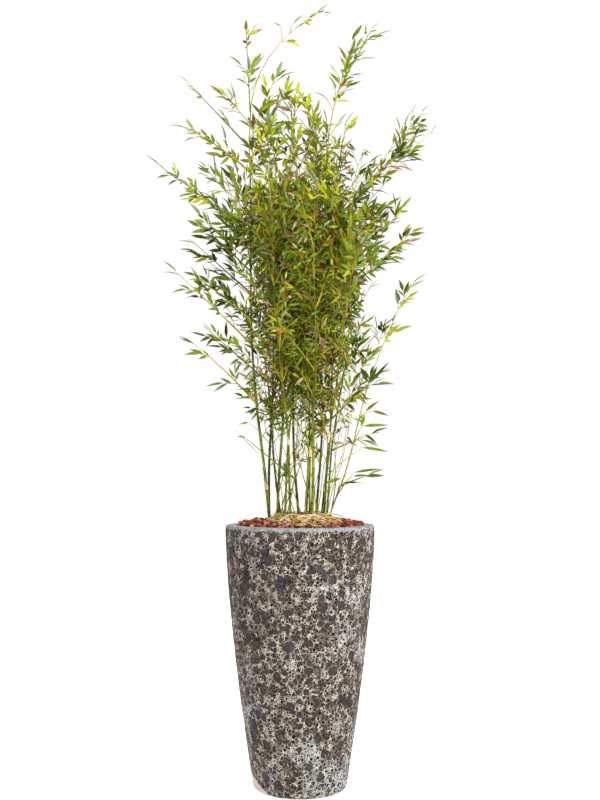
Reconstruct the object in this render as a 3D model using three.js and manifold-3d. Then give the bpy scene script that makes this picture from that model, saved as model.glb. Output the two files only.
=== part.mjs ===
// Potted bamboo: a clump of slender canes with their leafy sprays, on a root ball in a tall tapering
// crater-glazed pot. Millimetres, +Z up, the front towards -Y, the origin in the middle of the pot's
// underside.
import * as THREE from "three";
import { mergeVertices } from "three/addons/utils/BufferGeometryUtils.js";
import Module from "manifold-3d";

const wasm = await Module();
wasm.setup();

// ---- driving dimensions ----------------------------------------------------------------------------------

const CLEARANCE = 0.3; // between two solids that touch

const POT = {
  height: 648,
  footRadius: 113.6, // where the foot's rounding ends
  bellyRadius: 185.5, // the widest, just under the rim
  bellyHeight: 632,
  swell: 1.464, // 1 is a straight cone, more is a fuller belly
  footRound: 14,
  rimRound: 6,
  wall: 27,
  floor: 34,
  sides: 40,
};

const SOIL_TOP = POT.height - 16; // under the lava rock
const GROUND = POT.height + 11; // the flat top of the root ball, where the canes stand
const ROOT_BALL_RADIUS = 96;
const ROCK_TOP = POT.height + 6;

const CANE = {
  sides: 5,
  steps: 8,
  taper: 0.55, // radius lost from foot to tip, as a share
  nodStart: 0.7, // the share of the height above which a cane nods over
};

const STEM = { radius: 2.2, tipRadius: 1.1, sides: 3, steps: 4 };
const TWIG = {
  radius: 1.25,
  tipRadius: 0.8,
  sides: 3,
  angle: 34, // off its stem, and up to 14 more
  apart: 60,
  fewest: 2,
  most: 4,
  spare: 6, // clear room round the twig and its last leaf
  tries: 7,
};
const LEAF = {
  length: 94,
  width: 19,
  thickness: 2.2,
  widestAt: 0.38, // as a share of its length from its root
  perTwig: 3,
  fan: 33, // between the middle leaf and its neighbours
  apart: 12, // along the twig
  sunk: 3.5, // into the twig
};
const GOLDEN_ANGLE = 137.5;

// What a cane's row leaves unsaid: no bow, the share of its height where its leafy tip takes over, and how
// far the twigs of that tip spread.
const PLAIN_CANE = { bow: [0, 0], tip: 0.78, spread: 66 };

// One row for each cane: where it stands on the root ball, how far it leans and nods over on its way up, how
// tall it is and its radius at the foot.
const CANES = {
  tall_left: {
    foot: [-75, -32], lean: [-50, -18], bow: [-25, 0], nod: [204, 20], height: 1300, radius: 5.2,
    tip: 0.8, spread: 44,
  },
  left: { foot: [-77, 6], lean: [10, 12], nod: [-30, 10], height: 1010, radius: 4.8 },
  left_inner: { foot: [-56, -14], lean: [34, -30], nod: [12, -14], height: 1080, radius: 5 },
  back_left: { foot: [-48, 50], lean: [-110, 60], nod: [-24, 20], height: 950, radius: 4 },
  middle_back_left: { foot: [-38, 24], lean: [66, 44], nod: [20, 20], height: 1060, radius: 4.2 },
  front_left: { foot: [-22, -58], lean: [-60, -110], nod: [-20, -24], height: 940, radius: 4.2 },
  middle_left: { foot: [-2, -28], lean: [-62, -35], nod: [-24, -10], height: 1030, radius: 4.6 },
  middle_back: { foot: [16, 62], lean: [14, 110], nod: [6, 30], height: 980, radius: 4.6 },
  front: { foot: [24, -70], lean: [20, -120], nod: [8, -28], height: 860, radius: 4 },
  tall_right: {
    foot: [29, -18], lean: [52, -15], bow: [-6, 0], nod: [92, -20], height: 1196, radius: 5.4,
    tip: 0.82, spread: 44,
  },
  right_inner: { foot: [40, 32], lean: [50, 30], nod: [24, 6], height: 990, radius: 4.4, tip: 0.8 },
  right: { foot: [54, 6], lean: [75, -10], nod: [40, 0], height: 960, radius: 4.4 },
  right_back: { foot: [66, 30], lean: [100, 110], nod: [24, 30], height: 860, radius: 3.8 },
  right_front: { foot: [58, -48], lean: [80, -95], nod: [20, -24], height: 880, radius: 3.8 },
  right_outer: {
    foot: [70, -22], lean: [190, -20], nod: [30, -10], height: 606, radius: 2.8,
    tip: 0.66, spread: 36,
  },
};

// One row for each side spray of the outline: its cane, the height above the root ball where it leaves the
// cane, the compass direction it points in (0 is +X, 90 is +Y), its rise above level, its whole reach and how
// far its end droops.
const SPRAYS = {
  left_crest: { cane: "tall_left", at: 930, towards: 192, rise: 45, reach: 236, droop: 0 },
  left_high: { cane: "tall_left", at: 868, towards: 172, rise: 44, reach: 252, droop: 40 },
  left_long: { cane: "tall_left", at: 718, towards: 188, rise: 36, reach: 306, droop: 4 },
  left_back_high: { cane: "back_left", at: 640, towards: 172, rise: 44, reach: 210, droop: 0 },
  left_thin: { cane: "tall_left", at: 566, towards: 174, rise: 42, reach: 216, droop: 0 },
  left_reaching: { cane: "back_left", at: 500, towards: 160, rise: 38, reach: 262, droop: 6 },
  left_middle: { cane: "tall_left", at: 436, towards: 192, rise: 44, reach: 288, droop: 6 },
  left_low: { cane: "back_left", at: 350, towards: 176, rise: 42, reach: 232, droop: 4 },
  left_drooping: { cane: "tall_left", at: 290, towards: 182, rise: 48, reach: 268, droop: 26 },
  left_lowest: { cane: "middle_left", at: 102, towards: 200, rise: 38, reach: 190, droop: 0 },
  right_crest: { cane: "right_inner", at: 760, towards: -8, rise: 46, reach: 342, droop: 0 },
  right_steep: { cane: "right", at: 578, towards: 12, rise: 52, reach: 300, droop: 0 },
  right_long: { cane: "right_inner", at: 527, towards: -12, rise: 42, reach: 330, droop: 4 },
  right_middle: { cane: "right", at: 350, towards: 5, rise: 46, reach: 220, droop: 0 },
  right_low: { cane: "right_front", at: 250, towards: -10, rise: 44, reach: 186, droop: 4 },
  right_lower: { cane: "right_back", at: 174, towards: -15, rise: 24, reach: 140, droop: 4 },
  right_lowest: { cane: "right_outer", at: 86, towards: -20, rise: 22, reach: 104, droop: 2 },
};

// The sprays that fill the middle of the crown, one to a cane, winding up round the clump.
const INNER_SPRAYS = {
  count: 9,
  lowest: 250,
  highest: 600,
  rise: 50,
  reach: 220,
  droop: 4,
  tallerThan: 900, // canes too short for it bear none
};

const SPREAD = 46; // how far the twigs of a side spray may reach from its stem

// ---- small helpers ---------------------------------------------------------------------------------------

const radians = THREE.MathUtils.degToRad;

/** A repeatable stream of numbers from 0 to 1 for each whole-number seed. */
function randomSource(seed) {
  let state = seed >>> 0;
  return () => {
    state = (state + 0x6d2b79f5) >>> 0;
    let mixed = Math.imul(state ^ (state >>> 15), state | 1);
    mixed ^= mixed + Math.imul(mixed ^ (mixed >>> 7), mixed | 61);
    return ((mixed ^ (mixed >>> 14)) >>> 0) / 4294967296;
  };
}

/** The shortest distance between the segments a-b and c-d. */
function segmentDistance(a, b, c, d) {
  const u = b.clone().sub(a);
  const v = d.clone().sub(c);
  const w = a.clone().sub(c);
  const uu = u.dot(u);
  const vv = v.dot(v);
  const uv = u.dot(v);
  const uw = u.dot(w);
  const vw = v.dot(w);
  const spread = uu * vv - uv * uv;
  let s = spread > 1e-9 ? THREE.MathUtils.clamp((uv * vw - vv * uw) / spread, 0, 1) : 0;
  const t = THREE.MathUtils.clamp((uv * s + vw) / vv, 0, 1);
  s = THREE.MathUtils.clamp((uv * t - uw) / uu, 0, 1);
  return a.clone().addScaledVector(u, s).distanceTo(c.clone().addScaledVector(v, t));
}

/** A closed manifold solid from any closed three.js geometry. */
function solidOf(geometry) {
  const bare = geometry.clone();
  bare.deleteAttribute("normal");
  bare.deleteAttribute("uv");
  const merged = mergeVertices(bare, 1e-4);
  const mesh = new wasm.Mesh({
    numProp: 3,
    vertProperties: merged.attributes.position.array,
    triVerts: new Uint32Array(merged.index.array),
  });
  return new wasm.Manifold(mesh);
}

/** The three.js geometry of a manifold solid. */
function geometryOf(solid) {
  const { vertProperties, triVerts } = solid.getMesh();
  const geometry = new THREE.BufferGeometry();
  geometry.setAttribute("position", new THREE.BufferAttribute(vertProperties, 3));
  geometry.setIndex(new THREE.BufferAttribute(triVerts, 1));
  geometry.computeVertexNormals();
  return geometry;
}

/** A profile of [radius, height] points turned round the Z axis. */
function turned(profile, sides) {
  const points = profile.map(([radius, height]) => new THREE.Vector2(radius, height));
  return new THREE.LatheGeometry(points, sides).rotateX(Math.PI / 2);
}

/** A tapering limb: a closed cylinder whose length is laid along a path, thick as radiusAt(share) says. */
function limb(path, radiusAt, sides, steps, upright) {
  const geometry = new THREE.CylinderGeometry(1, 1, 1, sides, steps);
  const position = geometry.attributes.position;
  const reference = upright ? new THREE.Vector3(0, 1, 0) : new THREE.Vector3(0, 0, 1);
  for (let i = 0; i < position.count; i += 1) {
    const share = position.getY(i) + 0.5;
    const tangent = path(share + 0.01).sub(path(share - 0.01)).normalize();
    const across = reference.clone().cross(tangent).normalize();
    const below = across.clone().cross(tangent);
    const radius = radiusAt(share);
    const point = path(share)
      .addScaledVector(across, position.getX(i) * radius)
      .addScaledVector(below, position.getZ(i) * radius);
    position.setXYZ(i, point.x, point.y, point.z);
  }
  return geometry;
}

/** The path in straight stretches, as a limb of that many steps follows it. */
function inStretches(path, steps) {
  return (share) => {
    const knot = THREE.MathUtils.clamp(Math.floor(share * steps), 0, steps - 1);
    return path(knot / steps).lerp(path((knot + 1) / steps), share * steps - knot);
  };
}

/** A leaf: a flat eight-faced lozenge from its root to its tip, widest nearer the root. */
function leafBlade(root, direction, facing, length) {
  const geometry = new THREE.OctahedronGeometry(1, 0);
  const position = geometry.attributes.position;
  const across = facing.clone().cross(direction).normalize();
  const normal = direction.clone().cross(across);
  for (let i = 0; i < position.count; i += 1) {
    const end = position.getX(i);
    const along = Math.abs(end) < 0.5 ? LEAF.widestAt : (end + 1) / 2;
    const point = root
      .clone()
      .addScaledVector(direction, along * length)
      .addScaledVector(across, (position.getY(i) * LEAF.width) / 2)
      .addScaledVector(normal, (position.getZ(i) * LEAF.thickness) / 2);
    position.setXYZ(i, point.x, point.y, point.z);
  }
  return geometry;
}

// ---- the pot and what fills it ---------------------------------------------------------------------------

/** The pot's outer radius at a height: a cone that swells towards its belly. */
function outerRadius(height) {
  const share = Math.min(1, height / POT.bellyHeight);
  return POT.footRadius + (POT.bellyRadius - POT.footRadius) * (1 - (1 - share) ** POT.swell);
}

function innerRadius(height) {
  return outerRadius(height) - POT.wall;
}

/** The radius of the pot's cavity, whose wall runs straight from the floor to the rim. */
function cavityRadius(height) {
  const share = (height - POT.floor) / (POT.height - POT.floor);
  return THREE.MathUtils.lerp(innerRadius(POT.floor), innerRadius(POT.height), share);
}

/** Points of a quarter round of the given radius about a centre, between two angles in degrees. */
function roundedCorner(centre, radius, from, to, steps) {
  return Array.from({ length: steps + 1 }, (_, i) => {
    const angle = radians(from + ((to - from) * i) / steps);
    return [centre[0] + radius * Math.cos(angle), centre[1] + radius * Math.sin(angle)];
  });
}

function potGeometry() {
  const { height, footRound, rimRound, floor, sides } = POT;
  const footCentre = [outerRadius(footRound) - footRound, footRound];
  const rimCentre = [outerRadius(height) - rimRound, height - rimRound];
  const wallSteps = 7;
  const profile = [[0, 0], ...roundedCorner(footCentre, footRound, -90, 0, 4)];
  for (let i = 1; i <= wallSteps; i += 1) {
    const level = footRound + ((height - rimRound - footRound) * i) / (wallSteps + 1);
    profile.push([outerRadius(level), level]);
  }
  profile.push(...roundedCorner(rimCentre, rimRound, 0, 90, 3));
  profile.push([innerRadius(height) + 3, height], [innerRadius(height), height - 3]);
  profile.push([innerRadius(floor), floor], [0, floor]);
  return turned(profile, sides);
}

/** The soil that fills the pot, with the root ball standing proud of it in the middle. */
function rootBallGeometry() {
  const low = POT.floor + CLEARANCE;
  const profile = [
    [0, low],
    [cavityRadius(low) - CLEARANCE, low],
    [cavityRadius(SOIL_TOP) - CLEARANCE, SOIL_TOP],
    [ROOT_BALL_RADIUS, SOIL_TOP],
    [ROOT_BALL_RADIUS, GROUND - 5],
    [ROOT_BALL_RADIUS - 7, GROUND],
    [0, GROUND],
  ];
  return turned(profile, POT.sides);
}

/** The mounded ring of lava rock round the root ball. */
function lavaRockGeometry() {
  const inner = ROOT_BALL_RADIUS + CLEARANCE;
  const outer = cavityRadius(SOIL_TOP) - CLEARANCE;
  const base = SOIL_TOP + CLEARANCE;
  const crown = (inner + outer) / 2;
  const profile = [
    [inner, base],
    [outer, base],
    [outer, POT.height - 4],
    [crown, ROCK_TOP],
    [inner, GROUND - 6],
    [inner, base],
  ];
  return turned(profile, POT.sides);
}

// ---- the canes -------------------------------------------------------------------------------------------

/** The middle of a cane at a share of its height. */
function canePoint(cane, share) {
  const nod = Math.max(0, (share - CANE.nodStart) / (1 - CANE.nodStart)) ** 3;
  const bow = 4 * share * (1 - share);
  const offset = (i) => cane.foot[i] + cane.lean[i] * share + cane.bow[i] * bow + cane.nod[i] * nod;
  return new THREE.Vector3(offset(0), offset(1), GROUND + CLEARANCE + cane.height * share);
}

function caneRadius(cane, share) {
  return cane.radius * (1 - CANE.taper * share);
}

/** The middle line of the bare cane, from its foot to where its leafy tip takes over. */
function caneLine(cane) {
  return inStretches((share) => canePoint(cane, cane.tip * share), CANE.steps);
}

/** The bare cane, with a flat cut where it stands on the root ball. */
function caneLimb(cane) {
  const radiusAt = (share) => caneRadius(cane, cane.tip * share);
  const geometry = limb(caneLine(cane), radiusAt, CANE.sides, CANE.steps, true);
  const position = geometry.attributes.position;
  const footBand = cane.radius;
  for (let i = 0; i < position.count; i += 1) {
    if (position.getZ(i) < GROUND + footBand) position.setZ(i, GROUND + CLEARANCE);
  }
  return geometry;
}

// ---- the sprays ------------------------------------------------------------------------------------------

/** Where every limb, twig and leaf lies, so that each new one can be kept clear of the other solids. */
class Occupied {
  constructor() {
    this.stretches = [];
  }

  add(owner, from, to, radius) {
    this.stretches.push({ owner, from, to, radius });
  }

  addPath(owner, path, radius) {
    const steps = 12;
    for (let i = 0; i < steps; i += 1) this.add(owner, path(i / steps), path((i + 1) / steps), radius);
  }

  isFree(owners, from, to, radius) {
    return this.stretches.every(
      (other) =>
        owners.includes(other.owner) ||
        segmentDistance(from, to, other.from, other.to) > radius + other.radius + 2 * CLEARANCE,
    );
  }
}

/** The line of a side spray's stem from a root: it rises outwards and droops towards its end. */
function risingPath(root, direction, length, droop) {
  const sag = (share) => new THREE.Vector3(0, 0, -droop * share * share);
  return inStretches((s) => root.clone().addScaledVector(direction, length * s).add(sag(s)), STEM.steps);
}

/** How far a stem has to start from its cane's middle line or end to stand just clear of the cane. */
function slideClear(cane, pathFrom, radius, upright, furthest) {
  const bearer = solidOf(caneLimb(cane));
  let touching = 0;
  let clear = furthest;
  while (clear - touching > CLEARANCE / 20) {
    const offset = (touching + clear) / 2;
    const stem = solidOf(limb(pathFrom(offset), () => radius, STEM.sides, STEM.steps, upright));
    if (stem.minGap(bearer, 2 * CLEARANCE) > CLEARANCE) clear = offset;
    else touching = offset;
  }
  return clear;
}

/** The stem of a side spray, slid along its own line until it is just clear of the cane that bears it. */
function sideStem(spray) {
  const cane = CANES[spray.cane];
  const rise = radians(spray.rise);
  const turn = radians(spray.towards);
  const level = Math.cos(rise);
  const direction = new THREE.Vector3(level * Math.cos(turn), level * Math.sin(turn), Math.sin(rise));
  const middle = caneLine(cane)(spray.at / (cane.height * cane.tip));
  const length = spray.reach - cane.radius - 0.7 * LEAF.length;
  const pathFrom = (offset) =>
    risingPath(middle.clone().addScaledVector(direction, offset), direction, length, spray.droop);
  const clear = slideClear(cane, pathFrom, STEM.radius, false, 4 * cane.radius);
  return { path: pathFrom(clear), length, spread: SPREAD, radius: STEM.radius, upright: false };
}

/** The stem of a leafy tip: it goes on along its cane's own line, just clear of the cane's end. */
function tipStem(cane) {
  const radius = caneRadius(cane, cane.tip);
  const end = 1 - (0.62 * LEAF.length) / cane.height;
  const pathFrom = (offset) => {
    const start = cane.tip + offset / cane.height;
    return inStretches((share) => canePoint(cane, start + (end - start) * share), STEM.steps);
  };
  const path = pathFrom(slideClear(cane, pathFrom, radius, true, cane.radius));
  return { path, length: path(0).distanceTo(path(1)), spread: cane.spread, radius, upright: true };
}

/** The sprays of the crown's middle, each turned on round its cane until its stem is clear of the others. */
function innerStems(occupied) {
  const { count, lowest, highest, rise, reach, droop } = INNER_SPRAYS;
  const bearers = Object.keys(CANES).filter((name) => CANES[name].height > INNER_SPRAYS.tallerThan);
  return Array.from({ length: count }, (_, k) => {
    const cane = bearers[(k * 5) % bearers.length];
    const at = lowest + ((highest - lowest) * k) / (count - 1);
    const name = `spray_inner_${k + 1}`;
    for (let towards = k * GOLDEN_ANGLE; ; towards += 20) {
      const stem = sideStem({ cane, at, towards, rise, reach, droop });
      const free = occupied.isFree([`cane_${cane}`], stem.path(0.02), stem.path(1), 2 * STEM.radius);
      if (free) {
        occupied.addPath(name, stem.path, stem.radius);
        return { name, stem };
      }
    }
  });
}

/** A unit vector that leans off an axis by an angle, towards a turn round that axis. */
function leaning(axis, angle, turn) {
  const level = Math.abs(axis.z) > 0.9 ? new THREE.Vector3(0, 1, 0) : new THREE.Vector3(0, 0, 1);
  const side = level.cross(axis).normalize();
  const other = axis.clone().cross(side);
  return axis
    .clone()
    .multiplyScalar(Math.cos(radians(angle)))
    .addScaledVector(side, Math.sin(radians(angle)) * Math.cos(radians(turn)))
    .addScaledVector(other, Math.sin(radians(angle)) * Math.sin(radians(turn)));
}

/** The twigs of a stem, each from its own seed: where it leaves, which way it points and how long it is. */
function twigsOf(stem, seed) {
  const count = THREE.MathUtils.clamp(Math.round(stem.length / TWIG.apart), TWIG.fewest, TWIG.most);
  return Array.from({ length: count }, (_, k) => {
    const random = randomSource(seed * 100 + k);
    const share = 0.22 + (0.7 * (k + 0.6 * random())) / count;
    const axis = stem.path(share + 0.02).sub(stem.path(share - 0.02)).normalize();
    const angle = TWIG.angle + 14 * random();
    const turn = seed * 50 + k * GOLDEN_ANGLE + 30 * random();
    const length = stem.spread * (1.25 - 0.5 * share) * (0.8 + 0.4 * random());
    return { root: stem.path(share), axis, angle, turn, length, seed: seed * 100 + k + 50 };
  });
}

/** The leaves at the end of a twig's path: one straight on, the others fanned to both sides further back. */
function leavesOf(path, length, seed) {
  const random = randomSource(seed);
  const fanTurn = 360 * random();
  const direction = path(1).sub(path(0.97)).normalize();
  return Array.from({ length: LEAF.perTwig }, (_, k) => {
    const side = k % 2 === 0 ? 180 : 0;
    const angle = k === 0 ? 6 * random() : LEAF.fan + 12 * random();
    const back = LEAF.sunk + k * Math.min(0.3 * length, LEAF.apart);
    return {
      root: path(1 - back / length),
      aim: leaning(direction, angle, fanTurn + side),
      facing: leaning(direction, 90, fanTurn + 90),
      length: LEAF.length * (0.82 + 0.3 * random()),
    };
  });
}

/** The straight path of a twig, turned on round its stem until it is clear of the neighbours. */
function clearTwig(name, twig, occupied) {
  for (let tries = 0; tries < TWIG.tries; tries += 1) {
    const direction = leaning(twig.axis, twig.angle, twig.turn + (tries * 360) / TWIG.tries);
    const path = (share) => twig.root.clone().addScaledVector(direction, twig.length * share);
    const tip = path(1 + LEAF.length / twig.length);
    if (occupied.isFree([name], path(0.05), tip, TWIG.spare)) return path;
  }
  return null;
}

/** The radius of a limb that tapers evenly from its root to its end. */
function tapering(from, to) {
  return (share) => THREE.MathUtils.lerp(from, to, THREE.MathUtils.clamp(share, 0, 1));
}

/** One spray as a fused solid: its stem, twigs and leaves, without those that would touch a neighbour. */
function spraySolid(name, stem, seed, occupied) {
  const stemRadius = tapering(stem.radius, STEM.tipRadius);
  let solid = solidOf(limb(stem.path, stemRadius, STEM.sides, STEM.steps, stem.upright));
  const growLeaves = (path, length, leafSeed) => {
    for (const leaf of leavesOf(path, length, leafSeed)) {
      const tip = leaf.root.clone().addScaledVector(leaf.aim, leaf.length);
      if (!occupied.isFree([name], leaf.root, tip, LEAF.width / 2)) continue;
      occupied.add(name, leaf.root, tip, LEAF.width / 2);
      solid = solid.add(solidOf(leafBlade(leaf.root, leaf.aim, leaf.facing, leaf.length)));
    }
  };
  for (const twig of twigsOf(stem, seed)) {
    const path = clearTwig(name, twig, occupied);
    if (!path) continue;
    occupied.add(name, path(0), path(1), TWIG.radius);
    const upright = Math.abs(path(1).z - path(0).z) > 0.9 * twig.length;
    solid = solid.add(solidOf(limb(path, tapering(TWIG.radius, TWIG.tipRadius), TWIG.sides, 1, upright)));
    growLeaves(path, twig.length, twig.seed);
  }
  growLeaves(stem.path, stem.length, seed * 100 + 99);
  return solid;
}

// ---- putting it together ---------------------------------------------------------------------------------

const MATERIALS = {
  glaze: new THREE.MeshStandardMaterial({ color: 0x7d746a, roughness: 0.75, metalness: 0 }),
  soil: new THREE.MeshStandardMaterial({ color: 0x9a8a68, roughness: 0.95, metalness: 0 }),
  lava_rock: new THREE.MeshStandardMaterial({ color: 0x8f4f38, roughness: 0.95, metalness: 0 }),
  cane: new THREE.MeshStandardMaterial({ color: 0x7d8a2c, roughness: 0.5, metalness: 0 }),
  foliage: new THREE.MeshStandardMaterial({ color: 0x5d8030, roughness: 0.6, metalness: 0 }),
};

const bamboo = new THREE.Group();

function addPiece(name, geometry, material) {
  const mesh = new THREE.Mesh(geometry, material);
  mesh.name = name;
  bamboo.add(mesh);
}

addPiece("pot", potGeometry(), MATERIALS.glaze);
addPiece("root_ball", rootBallGeometry(), MATERIALS.soil);
addPiece("lava_rock", lavaRockGeometry(), MATERIALS.lava_rock);

const occupied = new Occupied();
const stems = [];

for (const [name, row] of Object.entries(CANES)) {
  const cane = Object.assign(row, { ...PLAIN_CANE, ...row });
  addPiece(`cane_${name}`, caneLimb(cane), MATERIALS.cane);
  occupied.addPath(`cane_${name}`, caneLine(cane), cane.radius);
  stems.push({ name: `tip_${name}`, stem: tipStem(cane) });
}
for (const [name, spray] of Object.entries(SPRAYS)) {
  stems.push({ name: `spray_${name}`, stem: sideStem(spray) });
}
for (const { name, stem } of stems) occupied.addPath(name, stem.path, stem.radius);
stems.push(...innerStems(occupied));

stems.forEach(({ name, stem }, index) => {
  addPiece(name, geometryOf(spraySolid(name, stem, index + 1, occupied)), MATERIALS.foliage);
});

export default bamboo;
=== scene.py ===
"""Looks of the potted bamboo: a clump of slender canes in a tall pot with a cratered glaze.

Everything is in metres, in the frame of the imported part: +Z up, the front towards -Y, and the origin in the
middle of the pot's underside. The plant grows by the same rule and from the same rows of sizes as the part's
solids, carried on to finer twigs and leaves.
"""

import logging
import math
from collections.abc import Callable, Iterable, Sequence
from dataclasses import dataclass, field, replace
from enum import Enum

import bmesh
import bpy
import numpy as np
from mathutils import Matrix, Vector


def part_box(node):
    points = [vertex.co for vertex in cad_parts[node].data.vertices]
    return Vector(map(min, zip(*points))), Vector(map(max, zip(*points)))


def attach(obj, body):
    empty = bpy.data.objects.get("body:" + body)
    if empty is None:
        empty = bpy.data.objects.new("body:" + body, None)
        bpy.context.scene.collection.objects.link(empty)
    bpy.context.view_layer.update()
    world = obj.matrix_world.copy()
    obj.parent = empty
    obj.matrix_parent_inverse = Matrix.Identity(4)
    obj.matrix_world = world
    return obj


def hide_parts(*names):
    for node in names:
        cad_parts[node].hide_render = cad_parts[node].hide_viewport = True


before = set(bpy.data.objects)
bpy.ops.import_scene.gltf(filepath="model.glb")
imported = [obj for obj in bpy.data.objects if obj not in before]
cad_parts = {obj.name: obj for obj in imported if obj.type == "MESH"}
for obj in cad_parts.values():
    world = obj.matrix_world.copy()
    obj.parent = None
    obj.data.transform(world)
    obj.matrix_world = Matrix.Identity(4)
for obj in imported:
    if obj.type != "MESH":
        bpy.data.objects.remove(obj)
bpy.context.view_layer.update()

LOG = logging.getLogger("potted_bamboo")
MM = 0.001
UP = np.array([0.0, 0.0, 1.0])
GOLDEN_ANGLE = 137.5
Path = Callable[[float], np.ndarray]


# ---- numbers drawn from a seed, and small vector helpers -------------------------------------------------


def random_source(seed: int) -> Callable[[], float]:
    """A repeatable stream of numbers from 0 to 1, the same as the part's source draws.

    Args:
        seed: Any whole number.

    Returns:
        A function that gives the next number each time it is called.
    """
    state = seed & 0xFFFFFFFF

    def draw() -> float:
        """The next number of the stream."""
        nonlocal state
        state = (state + 0x6D2B79F5) & 0xFFFFFFFF
        mixed = ((state ^ (state >> 15)) * (state | 1)) & 0xFFFFFFFF
        mixed ^= (mixed + (((mixed ^ (mixed >> 7)) * (mixed | 61)) & 0xFFFFFFFF)) & 0xFFFFFFFF
        return ((mixed ^ (mixed >> 14)) & 0xFFFFFFFF) / 4294967296

    return draw


def unit(vector: np.ndarray) -> np.ndarray:
    """The vector at length 1."""
    return vector / np.linalg.norm(vector)


def leaning(axis: np.ndarray, angle: float, turn: float) -> np.ndarray:
    """A unit vector that leans off an axis, towards a turn round that axis.

    Args:
        axis: The unit vector to lean from.
        angle: How far it leans, in degrees.
        turn: Which way round the axis it leans, in degrees.

    Returns:
        The leaning unit vector.
    """
    level = np.array([0.0, 1.0, 0.0]) if abs(axis[2]) > 0.9 else UP
    side = unit(np.cross(level, axis))
    other = np.cross(axis, side)
    lean, round_axis = math.radians(angle), math.radians(turn)
    sideways = side * math.cos(round_axis) + other * math.sin(round_axis)
    return axis * math.cos(lean) + sideways * math.sin(lean)


def tangent(path: Path, share: float) -> np.ndarray:
    """The unit direction of a path at a share of its length."""
    return unit(path(share + 0.02) - path(share - 0.02))


# ---- sizes that the part's source also states ------------------------------------------------------------


@dataclass(frozen=True)
class PotSizes:
    """The pot's sizes, in metres."""

    height: float = 0.648
    foot_radius: float = 0.1136
    belly_radius: float = 0.1855
    belly_height: float = 0.632
    swell: float = 1.464
    foot_round: float = 0.014
    rim_round: float = 0.006
    wall: float = 0.027
    floor: float = 0.034

    def outer(self, height: float) -> float:
        """The outer radius at a height."""
        share = min(1.0, height / self.belly_height)
        bulge = 1 - (1 - share) ** self.swell
        return self.foot_radius + (self.belly_radius - self.foot_radius) * bulge


POT = PotSizes()
GROUND = POT.height + 0.011
ROOT_BALL_RADIUS = 0.096
NOD_START = 0.7
CANE_SLIMMING = 0.74
CANE_TAPER = 0.84
SWAY = 6.0


@dataclass(frozen=True)
class Cane:
    """One cane's row of sizes, in millimetres above the top of the root ball.

    foot is where it stands, lean how far it leans by its top, bow how far it bends out half-way and nod how
    far its top nods over. tip is the share of its height where its leafy tip takes over.
    """

    foot: tuple[float, float]
    lean: tuple[float, float]
    nod: tuple[float, float]
    height: float
    radius: float
    bow: tuple[float, float] = (0, 0)
    tip: float = 0.78
    spread: float = 66

    def point(self, share: float) -> np.ndarray:
        """The middle of the cane at a share of its height, in metres."""
        nod = max(0.0, (share - NOD_START) / (1 - NOD_START)) ** 3
        bow = 4 * share * (1 - share)
        phase = 0.11 * self.foot[0] + 0.07 * self.foot[1]
        middle = []
        for i in (0, 1):
            sway = SWAY * math.sin(9 * share + phase + 2 * i) * min(1.0, 5 * share)
            middle.append(self.foot[i] + self.lean[i] * share + self.bow[i] * bow + self.nod[i] * nod + sway)
        return np.array([middle[0] * MM, middle[1] * MM, GROUND + self.height * share * MM])

    def drawn_radius(self, share: float) -> float:
        """The finished cane's radius there, slimmer than its solid's and drawing in more towards its top."""
        return CANE_SLIMMING * self.radius * (1 - CANE_TAPER * share) * MM


CANES = {
    "tall_left": Cane((-75, -32), (-50, -18), (204, 20), 1300, 5.2, bow=(-25, 0), tip=0.8, spread=44),
    "left": Cane((-77, 6), (10, 12), (-30, 10), 1010, 4.8),
    "left_inner": Cane((-56, -14), (34, -30), (12, -14), 1080, 5),
    "back_left": Cane((-48, 50), (-110, 60), (-24, 20), 950, 4),
    "middle_back_left": Cane((-38, 24), (66, 44), (20, 20), 1060, 4.2),
    "front_left": Cane((-22, -58), (-60, -110), (-20, -24), 940, 4.2),
    "middle_left": Cane((-2, -28), (-62, -35), (-24, -10), 1030, 4.6),
    "middle_back": Cane((16, 62), (14, 110), (6, 30), 980, 4.6),
    "front": Cane((24, -70), (20, -120), (8, -28), 860, 4),
    "tall_right": Cane((29, -18), (52, -15), (92, -20), 1196, 5.4, bow=(-6, 0), tip=0.82, spread=44),
    "right_inner": Cane((40, 32), (50, 30), (24, 6), 990, 4.4, tip=0.8),
    "right": Cane((54, 6), (75, -10), (40, 0), 960, 4.4),
    "right_back": Cane((66, 30), (100, 110), (24, 30), 860, 3.8),
    "right_front": Cane((58, -48), (80, -95), (20, -24), 880, 3.8),
    "right_outer": Cane((70, -22), (190, -20), (30, -10), 606, 2.8, tip=0.66, spread=36),
}


@dataclass(frozen=True)
class Spray:
    """One side spray's row of sizes, in millimetres and degrees.

    at is the height above the root ball where it leaves its cane, towards its compass direction with 0 at +X
    and 90 at +Y, rise its angle above level, reach its length and droop how far its end sinks.
    """

    cane: str
    at: float
    towards: float
    rise: float
    reach: float
    droop: float


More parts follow.
